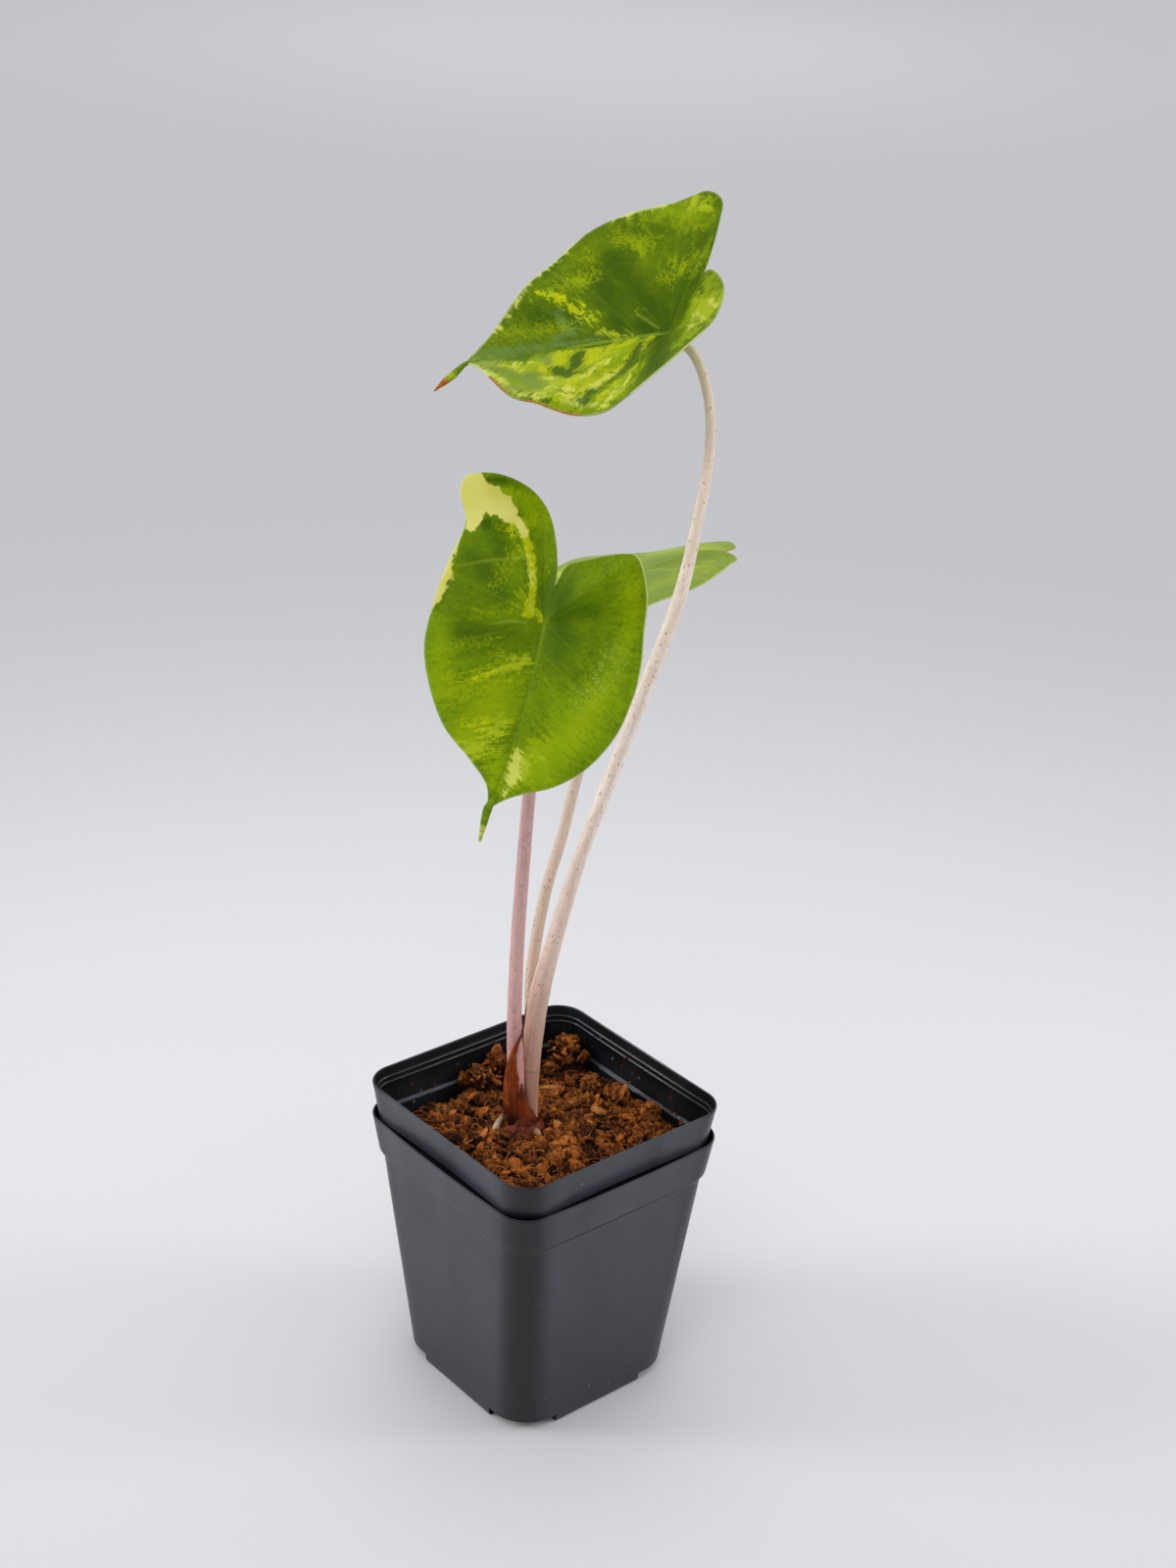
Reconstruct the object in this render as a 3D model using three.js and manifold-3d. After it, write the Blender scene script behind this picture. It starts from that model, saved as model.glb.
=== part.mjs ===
// A young variegated stingray alocasia with three leaves, in a square nursery pot nested in a second one.
// Millimetres, +Z up. The origin is the middle of the outer pot's bottom, and its sides run along X and Y.
import * as THREE from "three";
import Module from "manifold-3d";

const wasm = await Module();
wasm.setup();

// Pots: two alike, thin soft plastic, each with a collar band below its rim.
const POT_HEIGHT = 97;
const RIM_HALF = 45;
const COLLAR_LOW_HALF = 43.4;
const BODY_TOP_HALF = 42.3;
const BASE_HALF = 35;
const COLLAR_DEPTH = 13.8;
const BODY_TOP_DEPTH = 15.5;
const RIM_CORNER = 10.8;
const BASE_CORNER = 14;
const WALL = 0.8;
const NEST_RAISE = 12.6;
const SKIN_GAP = 0.35;

// Base of a pot: four straight feet in a cross, with the corners between them raised.
const FOOT_HALF_LENGTH = 18.5;
const CORNER_RAISE = 3.6;
const FOOT_CHAMFER = 1;
const FOOT_INSET = 0.8;
const DRAIN_RADIUS = 3.5;
const DRAIN_CORNER_AT = 23;
const DRAIN_ARM_AT = 25;

// Softness of the walls, as the sideways bow of a side's middle: [depth below the rim, bow].
const OUTER_BOW = [[0, 1], [15, 0.3], [40, 0], [97, 0]];
const NESTED_BOW = [[0, 0], [13.8, -1], [15.5, -1], [45, -0.3], [97, 0]];

// Plant: its own frame looks from the photograph's side, and is turned onto the pot.
const PLANT_TURN_DEG = 49.5;
const STEM_X = -7.4;
const STEM_Y = 1.1;
const CORM_TOP = 97.65;
const STALK_FOOT = 97.95;
const BLADE_HALF_THICK = 0.35;
const SEAT_GAP = 0.3;

// Coir: level, slope away from the viewer, and lumps.
const COIR_LEVEL = 94.6;
const COIR_SLOPE = 0.075;
const WALL_DIP = 4.5;
const WALL_DIP_AT = -42;
const WALL_DIP_REACH = 9;
const STEM_DIP = 1.6;
const STEM_DIP_REACH = 10;
const CALM_FROM_STEM = 8;
const CALM_REACH = 3;
const LUMP_COUNT = 110;
const LUMP_FIELD = 84;
const COIR_EDGE_DEPTH = 16;
const COIR_MID_DEPTH = 38;

const root = new THREE.Group();
const plant = new THREE.Group();
plant.rotation.z = THREE.MathUtils.degToRad(PLANT_TURN_DEG);
root.add(plant);

function addMesh(parent, name, solid, colour, roughness) {
  const data = solid.getMesh();
  const geometry = new THREE.BufferGeometry();
  const step = data.numProp;
  const xyz = new Float32Array(data.numVert * 3);
  for (let i = 0; i < data.numVert; i++) {
    xyz.set(data.vertProperties.subarray(i * step, i * step + 3), i * 3);
  }
  geometry.setAttribute("position", new THREE.BufferAttribute(xyz, 3));
  geometry.setIndex(new THREE.BufferAttribute(data.triVerts, 1));
  geometry.computeVertexNormals();
  const material = new THREE.MeshStandardMaterial({ color: colour, roughness: roughness });
  const mesh = new THREE.Mesh(geometry, material);
  mesh.name = name;
  parent.add(mesh);
}

function closedBody(points, faces) {
  const vertProperties = new Float32Array(points.flat());
  const triVerts = new Uint32Array(faces.flat());
  return new wasm.Manifold(new wasm.Mesh({ numProp: 3, vertProperties, triVerts }));
}

function largestBody(solid) {
  const bodies = solid.decompose();
  return bodies.reduce((best, body) => (body.volume() > best.volume() ? body : best));
}

// A value read off a list of [position, value] pairs by straight lines between them.
function along(pairs, position) {
  if (position <= pairs[0][0]) {
    return pairs[0][1];
  }
  for (let i = 1; i < pairs.length; i++) {
    if (position <= pairs[i][0]) {
      const [a, va] = pairs[i - 1];
      const [b, vb] = pairs[i];
      return va + ((vb - va) * (position - a)) / (b - a);
    }
  }
  return pairs[pairs.length - 1][1];
}

// Closed rings of equal length, from the lowest up, each counter-clockwise from above.
function loft(rings) {
  const count = rings[0].length;
  const points = rings.flat();
  const faces = [];
  for (let r = 0; r + 1 < rings.length; r++) {
    for (let i = 0; i < count; i++) {
      const j = (i + 1) % count;
      const a = r * count + i;
      const b = r * count + j;
      faces.push([a, b, b + count], [a, b + count, a + count]);
    }
  }
  const ends = [[0, true], [rings.length - 1, false]];
  for (const [at, isLow] of ends) {
    const ring = rings[at];
    const middle = [0, 1, 2].map((k) => ring.reduce((sum, p) => sum + p[k], 0) / count);
    const centre = points.push(middle) - 1;
    for (let i = 0; i < count; i++) {
      const a = at * count + i;
      const b = at * count + ((i + 1) % count);
      faces.push(isLow ? [centre, b, a] : [centre, a, b]);
    }
  }
  return closedBody(points, faces);
}

// Rounded square, with sides that may bow outwards (or inwards, below zero) at their middle.
function squareRing(half, corner, bow, heightAt, straightPoints, arcSteps) {
  const ring = [];
  const reach = half - corner;
  for (let side = 0; side < 4; side++) {
    const turn = (side * Math.PI) / 2;
    const flat = [];
    for (let i = 1; i <= straightPoints; i++) {
      const share = (2 * i) / (straightPoints + 1) - 1;
      flat.push([half + bow * (1 - share * share), share * reach]);
    }
    for (let i = 0; i <= arcSteps; i++) {
      const angle = (i * Math.PI) / (2 * arcSteps);
      flat.push([reach + corner * Math.cos(angle), reach + corner * Math.sin(angle)]);
    }
    for (const [x, y] of flat) {
      const px = x * Math.cos(turn) - y * Math.sin(turn);
      const py = x * Math.sin(turn) + y * Math.cos(turn);
      ring.push([px, py, heightAt(px, py)]);
    }
  }
  return ring;
}

const OUTSIDE = [
  [0, RIM_HALF],
  [COLLAR_DEPTH, COLLAR_LOW_HALF],
  [BODY_TOP_DEPTH, BODY_TOP_HALF],
  [POT_HEIGHT, BASE_HALF],
];
const LEDGE_DEPTH = 14;
const LEDGE_FOOT_DEPTH = 15;
const LEDGE_FOOT_HALF = 41.4;
const INSIDE = [
  [0, RIM_HALF - WALL],
  [LEDGE_DEPTH, COLLAR_LOW_HALF - WALL - 0.1],
  [LEDGE_FOOT_DEPTH, LEDGE_FOOT_HALF],
  [POT_HEIGHT, BASE_HALF - WALL],
];

function cornerAt(depth) {
  return RIM_CORNER + ((BASE_CORNER - RIM_CORNER) * depth) / POT_HEIGHT;
}

function potRing(profile, shrink, bow, depth, base) {
  const half = along(profile, depth) - shrink;
  const corner = cornerAt(depth) - shrink - (profile === INSIDE ? WALL : 0);
  return squareRing(half, corner, along(bow, depth), () => base + POT_HEIGHT - depth, 3, 6);
}

function cornerBlocks(from, top) {
  const size = 2 * RIM_HALF;
  const blocks = [];
  for (const sx of [-1, 1]) {
    for (const sy of [-1, 1]) {
      const block = wasm.Manifold.cube([size, size, size], false);
      const x = sx > 0 ? from : -from - size;
      const y = sy > 0 ? from : -from - size;
      blocks.push(block.translate([x, y, top - size]));
    }
  }
  return wasm.Manifold.union(blocks);
}

function pot(base, bow) {
  const outsideDepths = [POT_HEIGHT - FOOT_CHAMFER, 45, 22, BODY_TOP_DEPTH, COLLAR_DEPTH, 7, 0];
  const foot = squareRing(BASE_HALF - FOOT_INSET, BASE_CORNER, 0, () => base, 3, 6);
  const rings = outsideDepths.map((depth) => potRing(OUTSIDE, 0, bow, depth, base));
  const filled = loft([foot, ...rings]).subtract(cornerBlocks(FOOT_HALF_LENGTH, base + CORNER_RAISE));
  const insideDepths = [POT_HEIGHT - WALL, 45, 22, LEDGE_FOOT_DEPTH, LEDGE_DEPTH, 7, -1];
  const inside = insideDepths.map((depth) => potRing(INSIDE, 0, bow, depth, base));
  const cornerFloor = cornerBlocks(FOOT_HALF_LENGTH - WALL, base + CORNER_RAISE + WALL);
  const hollow = loft(inside).subtract(cornerFloor);
  const drains = [];
  for (let i = 0; i < 4; i++) {
    const diagonal = ((2 * i + 1) * Math.PI) / 4;
    const arm = (i * Math.PI) / 2;
    const reach = DRAIN_CORNER_AT * Math.SQRT2;
    const drill = wasm.Manifold.cylinder(8, DRAIN_RADIUS, DRAIN_RADIUS, 16, false);
    const drain = drill.translate([0, 0, base - 1]);
    drains.push(drain.translate([reach * Math.cos(diagonal), reach * Math.sin(diagonal), 0]));
    drains.push(drain.translate([DRAIN_ARM_AT * Math.cos(arm), DRAIN_ARM_AT * Math.sin(arm), 0]));
  }
  return filled.subtract(hollow).subtract(wasm.Manifold.union(drains));
}

addMesh(root, "outer_pot", pot(0, OUTER_BOW), 0x54585b, 0.45);
addMesh(root, "inner_pot", pot(NEST_RAISE, NESTED_BOW), 0x54585b, 0.45);

// A tube through [x, y, z, half-width across, half-width in depth] stations.
function stalk(stations, ringCount, around) {
  const path = new THREE.CatmullRomCurve3(stations.map((s) => new THREE.Vector3(s[0], s[1], s[2])));
  const rings = [];
  for (let r = 0; r <= ringCount; r++) {
    const t = r / ringCount;
    const at = path.getPoint(t);
    const tangent = path.getTangent(t).normalize();
    const across = new THREE.Vector3(1, 0, 0).addScaledVector(tangent, -tangent.x).normalize();
    const deep = new THREE.Vector3().crossVectors(tangent, across);
    const place = t * (stations.length - 1);
    const low = Math.min(Math.floor(place), stations.length - 2);
    const share = place - low;
    const wide = stations[low][3] * (1 - share) + stations[low + 1][3] * share;
    const thick = stations[low][4] * (1 - share) + stations[low + 1][4] * share;
    const ring = [];
    for (let i = 0; i < around; i++) {
      const angle = (2 * Math.PI * i) / around;
      const p = at.clone().addScaledVector(across, wide * Math.cos(angle));
      p.addScaledVector(deep, thick * Math.sin(angle));
      ring.push([p.x, p.y, p.z]);
    }
    rings.push(ring);
  }
  return loft(rings);
}

// Corm with two root tips, grown by a margin when it is used to cut its own hole in the coir.
const CORM_PROFILE = [
  [78, 3], [80, 6], [84, 8], [89, 8.4], [92.5, 7.4], [95, 6.9], [96.7, 6.6], [CORM_TOP, 5.8],
];
const ROOT_LEFT = [
  [-10.5, 0, 94.5, 1.1, 1.1],
  [-13.6, -1.9, 96.4, 1.1, 1.1],
  [-15.8, -2.8, 95.8, 1, 1],
  [-17.2, -3.2, 93.6, 0.9, 0.9],
  [-17.6, -3.3, 90, 0.6, 0.6],
];
const ROOT_RIGHT = [
  [-4, -1, 94, 1.1, 1.1],
  [-1.2, -3.9, 94.8, 1.1, 1.1],
  [0.8, -5.8, 93.8, 1, 1],
  [1.8, -6.8, 91.6, 0.9, 0.9],
  [2.2, -7.3, 88.5, 0.6, 0.6],
];

function cormBody(grow) {
  const rings = CORM_PROFILE.map(([z, radius], index) => {
    const ring = [];
    const isEnd = index === 0 || index === CORM_PROFILE.length - 1;
    const lift = isEnd ? Math.sign(index - 1) * grow : 0;
    for (let i = 0; i < 20; i++) {
      const angle = (2 * Math.PI * i) / 20;
      const reach = radius + grow;
      ring.push([STEM_X + reach * Math.cos(angle), STEM_Y + reach * Math.sin(angle), z + lift]);
    }
    return ring;
  });
  const roots = [ROOT_LEFT, ROOT_RIGHT].map((stations) => {
    const wider = stations.map(([x, y, z, a, b]) => [x, y, z, a + grow, b + grow]);
    wider[wider.length - 1][2] -= grow;
    return stalk(wider, 10, 8);
  });
  return wasm.Manifold.union([loft(rings), ...roots]);
}

addMesh(plant, "corm", cormBody(0), 0x4a2622, 0.6);

// Coir chips: lumps scattered by a seeded rule, with two taller blocks against the back walls.
let seed = 20;
function random() {
  seed = (seed * 1103515245 + 12345) % 2147483648;
  return seed / 2147483648;
}
const lumps = [];
for (let i = 0; i < LUMP_COUNT; i++) {
  const x = (random() - 0.5) * LUMP_FIELD;
  const y = (random() - 0.5) * LUMP_FIELD;
  const long = 3.2 + 3.6 * random();
  const short = long * (0.5 + 0.4 * random());
  const turn = Math.PI * random();
  const height = 0.8 + 2 * random();
  lumps.push([x, y, long, short, turn, height]);
}
// Three blocks that show: x, y, half-lengths, turn and height.
lumps.push([-37, 6, 6.5, 5, 1.4, 7.5], [-31, 36.5, 7, 5.5, 0.6, 9.5], [-6, 35, 6, 4.5, 0.2, 3.5]);

const turnCos = Math.cos(plant.rotation.z);
const turnSin = Math.sin(plant.rotation.z);
const stemWorldX = STEM_X * turnCos - STEM_Y * turnSin;
const stemWorldY = STEM_X * turnSin + STEM_Y * turnCos;

function coirHeight(x, y) {
  const away = -x * turnSin + y * turnCos;
  const wallDip = WALL_DIP * Math.exp(-(((x - WALL_DIP_AT) / WALL_DIP_REACH) ** 2));
  const fromStem = Math.hypot(x - stemWorldX, y - stemWorldY);
  const stemDip = STEM_DIP * Math.exp(-((fromStem / STEM_DIP_REACH) ** 2));
  let chip = 0;
  for (const [cx, cy, long, short, turn, height] of lumps) {
    const dx = x - cx;
    const dy = y - cy;
    const u = (dx * Math.cos(turn) + dy * Math.sin(turn)) / long;
    const v = (dy * Math.cos(turn) - dx * Math.sin(turn)) / short;
    const q = u * u + v * v;
    if (q < 1) {
      chip = Math.max(chip, height * Math.sqrt(1 - q));
    }
  }
  const calm = Math.min(1, Math.max(0, (fromStem - CALM_FROM_STEM) / CALM_REACH));
  return COIR_LEVEL - COIR_SLOPE * away - wallDip - stemDip + chip * calm;
}

function coirRing(depth, share, heightAt) {
  const half = along(INSIDE, depth) - SKIN_GAP;
  const corner = cornerAt(depth) - WALL;
  const bow = along(NESTED_BOW, depth);
  return squareRing(half, corner, bow, heightAt, 11, 4).map(([x, y]) => {
    return [x * share, y * share, heightAt(x * share, y * share)];
  });
}

function coir() {
  const low = NEST_RAISE + CORNER_RAISE + WALL + SKIN_GAP;
  const rim = NEST_RAISE + POT_HEIGHT;
  const rings = [coirRing(rim - low, 1, () => low), coirRing(COIR_MID_DEPTH, 1, () => rim - COIR_MID_DEPTH)];
  const widest = along(INSIDE, COIR_EDGE_DEPTH) - SKIN_GAP;
  const edge = coirRing(COIR_EDGE_DEPTH, 1, coirHeight).map(([x, y, z]) => {
    const inset = (along(INSIDE, Math.max(rim - z, COIR_EDGE_DEPTH)) - SKIN_GAP) / widest;
    return [x * inset, y * inset, z];
  });
  rings.push(edge);
  const shares = [0.93, 0.86, 0.79, 0.72, 0.65, 0.58, 0.51, 0.44, 0.37, 0.3, 0.22, 0.13];
  for (const share of shares) {
    rings.push(coirRing(COIR_EDGE_DEPTH, share, coirHeight));
  }
  const armTop = low + 2;
  const floor = NEST_RAISE + WALL + SKIN_GAP;
  const arms = loft([coirRing(rim - floor, 1, () => floor), coirRing(rim - armTop, 1, () => armTop)]);
  const crossed = arms.subtract(cornerBlocks(FOOT_HALF_LENGTH - WALL - SKIN_GAP, low + 0.5));
  const hole = cormBody(SKIN_GAP).rotate([0, 0, PLANT_TURN_DEG]);
  return loft(rings).add(crossed).subtract(hole);
}

addMesh(root, "coir_medium", largestBody(coir()), 0x9a5a22, 0.95);

// Blades. Each side's margin runs from the notch over the stalk to the tip, from the stalk's top as zero.
const UPPER_TOP = [29.4, -4.9, 375.2];
const UPPER_FAR = [
  [4.5, 4, 7], [9, 10, 14], [14, 24, 29], [14.5, 31, 33.5], [10.5, 35, 35], [2, 38, 31],
  [-13.5, 40, 26], [-25.5, 38.5, 20], [-35, 34.5, 12], [-44, 26.5, 5.5], [-53, 12.5, -5.5], [-60, 0.3, -11.5],
];
const UPPER_NEAR = [
  [4.5, 4, 7], [7.5, -3, 15], [10, -8, 21], [13.5, -22, 21.5], [14, -27, 19.5], [11.5, -36, 14],
  [5, -41, 8], [-6.5, -44.5, -2], [-12, -44.5, -7], [-18.5, -42.5, -12.5], [-27, -39.5, -14.5],
  [-38, -34, -13], [-44.5, -28, -13.5], [-52.5, -13.5, -11.5], [-56, -6, -11], [-60, 0.3, -11.5],
];
const UPPER_TAIL = [
  [-56, 0, -10.7, 0.8, 1.1], [-60, 0, -11.6, 0.7, 1], [-63, -3, -14, 0.5, 0.7], [-68, -8, -17.5, 0.35, 0.4],
];

const FRONT_TOP = [-3.7, -46.9, 299];
const FRONT_LEFT = [
  [2.5, 4, 9.5], [3, 8.5, 15.5], [0, 20, 26.5], [-5.5, 25, 32], [-14, 27, 35.5], [-21, 27, 36],
  [-25.5, 25, 35], [-26.5, 22, 31], [-24.5, 17, 24.5], [-29, 8.5, 14.5], [-32.5, -1, 5], [-34.5, -9, -5],
  [-32.5, -16, -14.5], [-27.5, -23, -24.5], [-19.5, -28, -32.5], [-14.5, -32, -38.5], [-14, -36, -44],
];
const FRONT_RIGHT = [
  [2.5, 4, 9.5], [6, 6.5, 15.5], [9, 5.5, 17], [17, 3, 20], [23, -1, 22.5], [26, -4, 23],
  [28, -6, 19.5], [29.5, -8, 11], [29, -10, 2], [28.5, -15, -7], [26, -21, -15.5], [21.5, -26.5, -24.5],
  [13.5, -31.5, -32.5], [4.5, -33.5, -37.5], [-4, -33.5, -40], [-9, -34.5, -41.5], [-14, -36, -44],
];
const FRONT_TAIL = [
  [-12, -33.5, -41, 0.8, 0.8], [-14, -36, -44, 0.8, 0.8], [-14.8, -38, -47.5, 0.6, 0.6],
  [-15.8, -40, -52.5, 0.35, 0.35],
];

const BACK_TOP = [24.6, 39.1, 284.7];
const BACK_FAR = [
  [7.5, 0, 3.5], [15, 4, 5], [30.5, 12, 4.5], [32, 15, 4.5], [30.5, 18, 5], [26.5, 21, 4], [15, 24.5, 0.5],
  [4.5, 26, -2.5], [-10.5, 27, -4.5], [-22.5, 26, -6.5], [-33, 22, -12], [-44, 15, -17.5], [-55, 2, -26],
];
const BACK_NEAR = [
  [7.5, 0, 3.5], [13.5, -3, 7.5], [26, -9, 11.5], [31, -13.5, 10.5], [29, -16, 9.5], [19, -22.5, 4],
  [9.5, -24.5, 0.5], [3, -25, -2.5], [-12.5, -25, -13.5], [-28, -20, -22.5], [-43, -10, -26], [-55, 2, -26],
];
const BACK_TAIL = [
  [-52, 2.5, -24.5, 0.8, 0.8], [-55, 2, -26, 0.8, 0.8], [-58, 0.5, -28.5, 0.6, 0.6],
  [-61, -1.5, -33, 0.35, 0.35],
];

// Rise of the blade's face halfway from the stalk's top to the margin: over the sides, and over the midrib.
const UPPER_BULGE = { side: [-0.3, -0.3, 1.6], midrib: [0, 0, -0.3] };
const FRONT_BULGE = { side: [-0.3, -1.2, 1], midrib: [1.3, 0, -1.8] };
const BACK_BULGE = { side: [0, -0.2, 1.6], midrib: [0, 0, 1] };

const SIDE_COLUMNS = 30;
const BLADE_RINGS = [0.12, 0.3, 0.5, 0.7, 0.87, 1];

function bladeSheet(firstSide, secondSide, bulge) {
  const curve = (side) => {
    const points = side.map((p) => new THREE.Vector3(p[0], p[1], p[2]));
    return new THREE.CatmullRomCurve3(points).getSpacedPoints(SIDE_COLUMNS);
  };
  const first = curve(firstSide);
  const second = curve(secondSide);
  const margin = [];
  for (let i = 0; i < SIDE_COLUMNS; i++) {
    margin.push([first[i], i / SIDE_COLUMNS]);
  }
  for (let i = SIDE_COLUMNS; i > 0; i--) {
    margin.push([second[i], i / SIDE_COLUMNS]);
  }
  const points = [new THREE.Vector3(0, 0, 0)];
  for (const share of BLADE_RINGS) {
    for (const [edge, t] of margin) {
      const rise = 4 * share * (1 - share);
      const toSide = Math.sin(Math.PI * Math.min(1, t * 1.15));
      const toMidrib = Math.max(0, 1 - (1 - t) / 0.3) ** 2;
      const p = edge.clone().multiplyScalar(share);
      p.addScaledVector(new THREE.Vector3(...bulge.side), rise * toSide);
      p.addScaledVector(new THREE.Vector3(...bulge.midrib), rise * toMidrib);
      points.push(p);
    }
  }
  const count = margin.length;
  const faces = [];
  for (let i = 0; i < count; i++) {
    const j = (i + 1) % count;
    faces.push([0, 1 + i, 1 + j]);
    for (let r = 0; r + 1 < BLADE_RINGS.length; r++) {
      const a = 1 + r * count + i;
      const b = 1 + r * count + j;
      faces.push([a, a + count, b + count], [a, b + count, b]);
    }
  }
  return { points, faces, count };
}

function bladeBody(sheet, top, halfThick) {
  const { points, faces, count } = sheet;
  const normals = points.map(() => new THREE.Vector3());
  for (const [a, b, c] of faces) {
    const ab = points[b].clone().sub(points[a]);
    const ac = points[c].clone().sub(points[a]);
    const normal = ab.cross(ac);
    for (const i of [a, b, c]) {
      normals[i].add(normal);
    }
  }
  const total = points.length;
  const placed = [];
  for (const way of [1, -1]) {
    points.forEach((p, i) => {
      const shift = normals[i].clone().normalize().multiplyScalar(way * halfThick);
      placed.push([p.x + shift.x + top[0], p.y + shift.y + top[1], p.z + shift.z + top[2]]);
    });
  }
  const shell = [];
  for (const [a, b, c] of faces) {
    shell.push([a, b, c], [a + total, c + total, b + total]);
  }
  const edgeStart = total - count;
  for (let i = 0; i < count; i++) {
    const a = edgeStart + i;
    const b = edgeStart + ((i + 1) % count);
    shell.push([a, a + total, b + total], [a, b + total, b]);
  }
  return closedBody(placed, shell);
}

function blade(sides, bulge, tail, top) {
  const sheet = bladeSheet(sides[0], sides[1], bulge);
  const placedTail = tail.map(([x, y, z, a, b]) => [x + top[0], y + top[1], z + top[2], a, b]);
  const tailTube = stalk(placedTail, 8, 8);
  return {
    body: bladeBody(sheet, top, BLADE_HALF_THICK).add(tailTube),
    clearance: bladeBody(sheet, top, BLADE_HALF_THICK + SEAT_GAP),
  };
}

const upper = blade([UPPER_FAR, UPPER_NEAR], UPPER_BULGE, UPPER_TAIL, UPPER_TOP);
const front = blade([FRONT_LEFT, FRONT_RIGHT], FRONT_BULGE, FRONT_TAIL, FRONT_TOP);
const back = blade([BACK_FAR, BACK_NEAR], BACK_BULGE, BACK_TAIL, BACK_TOP);
addMesh(plant, "blade_upper", upper.body, 0x6f9a1e, 0.4);
addMesh(plant, "blade_front", front.body, 0x6f9a1e, 0.4);
addMesh(plant, "blade_back", back.body, 0x86ab3c, 0.4);

// Stalks, from the corm to just under each blade: x, y, z, half-width across, half-width in depth.
const STALK_UPPER = [
  [-3.9, 0.4, 96.5, 2.1, 2.1], [-4.4, 0.6, 113.9, 2.5, 2.3], [-4.1, 1.1, 132.5, 3.4, 2.9],
  [-2.5, 1.1, 147.8, 3.5, 3], [1.5, 0.1, 167.6, 2.8, 2.6], [9.5, -1.9, 201.6, 2.3, 2.2],
  [18.9, -3.9, 233.1, 2.35, 2.2], [28, -6, 264, 2.3, 2.2], [36.5, -7.9, 293.7, 2.2, 2.1],
  [40.3, -8.9, 316.3, 1.8, 1.7], [43, -9.9, 341.4, 1.5, 1.5], [41.5, -9.2, 358.5, 1.5, 1.5],
  [36.5, -6.8, 370, 1.5, 1.5], [29.4, -4.9, 374.6, 1.4, 1.2],
];
const STALK_FRONT = [
  [-9.9, -0.6, 96.5, 2.2, 2.1], [-10.1, -1.4, 112, 2.3, 2.2], [-10.7, -2.6, 126, 2.3, 2.3],
  [-10.8, -4.9, 140.3, 2.45, 2.3], [-10.2, -9.9, 172.1, 2.3, 2.2], [-8.8, -16.9, 205.3, 2.2, 2.1],
  [-7.4, -24.9, 232.5, 2.1, 2], [-5.4, -33.9, 260.5, 1.95, 1.9], [-4, -41.9, 283, 1.8, 1.8],
  [-3.7, -46.9, 298.6, 1.7, 1.6],
];
const STALK_BACK = [
  [-6.2, 4.9, 96.5, 1.8, 1.7], [-5.6, 6, 112, 1.9, 1.8], [-5.4, 7.6, 125.8, 2, 1.9],
  [-5.8, 10.1, 149, 2.1, 2], [-1.9, 16.1, 178.2, 2, 1.9], [2.7, 21.1, 195.9, 1.9, 1.8],
  [7.1, 26.1, 216.5, 1.85, 1.8], [14.1, 33.1, 244.5, 1.75, 1.7], [20, 37.1, 265.8, 1.7, 1.6],
  [24.6, 39.1, 284.3, 1.5, 1.5],
];

function seatedStalk(stations, ringCount, clearance) {
  const tube = stalk(stations, ringCount, 12).trimByPlane([0, 0, 1], STALK_FOOT);
  return largestBody(tube.subtract(clearance));
}

addMesh(plant, "petiole_upper", seatedStalk(STALK_UPPER, 30, upper.clearance), 0xd6c6bc, 0.5);
addMesh(plant, "petiole_front", seatedStalk(STALK_FRONT, 18, front.clearance), 0xb48c8c, 0.5);
addMesh(plant, "petiole_back", seatedStalk(STALK_BACK, 18, back.clearance), 0xcdc0af, 0.5);

// Dried sheaths: curved strips in front of the stalks.
// Rows are height, middle x, half-width, y and the curl at the edges.
const SHEATH_HALF_THICK = 0.32;
const SHEATH_LEFT = [
  [98, -9.9, 3.1, -4.1, 2.6], [104, -10.5, 2.7, -4.3, 1.9], [111, -10.8, 2.5, -4.9, 1.6],
  [116, -10.6, 2.5, -5.3, 1.5], [121, -11, 1.7, -5.8, 0.8], [127, -10.8, 1.1, -6.1, 0.3],
  [132, -9.4, 0.7, -7.2, 0.1], [136, -8, 0.5, -7.5, 0], [141, -7.2, 0.4, -6.9, 0], [147, -6.6, 0.35, -5.8, 0],
];
const SHEATH_RIGHT = [
  [98, -3.9, 2.5, -3, 1.4], [101.5, -4.6, 2.1, -2.9, 1.1], [105, -5.4, 1.6, -2.8, 0.7],
  [110, -6.5, 0.9, -2.9, 0.2], [114.4, -6.9, 0.4, -3.3, 0],
];

function sheath(rows) {
  const across = 6;
  const at = (key) => rows.map((row) => [row[0], row[key]]);
  const steps = 2 * (rows.length - 1);
  const low = rows[0][0];
  const high = rows[rows.length - 1][0];
  const rings = [];
  for (let r = 0; r <= steps; r++) {
    const z = low + ((high - low) * r) / steps;
    const [middle, half, depth, curl] = [1, 2, 3, 4].map((key) => along(at(key), z));
    const ring = [];
    for (const [way, face] of [[1, -1], [-1, 1]]) {
      for (let i = 0; i <= across; i++) {
        const share = way * ((2 * i) / across - 1);
        ring.push([middle + half * share, depth + curl * share * share + face * SHEATH_HALF_THICK, z]);
      }
    }
    rings.push(ring);
  }
  return loft(rings);
}

addMesh(plant, "cataphyll_left", sheath(SHEATH_LEFT), 0x78371a, 0.7);
addMesh(plant, "cataphyll_right", sheath(SHEATH_RIGHT), 0x78371a, 0.7);

export default root;
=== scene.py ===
import math
import random

import bmesh
import bpy
import numpy as np
from mathutils import Matrix, Vector, noise


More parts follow.
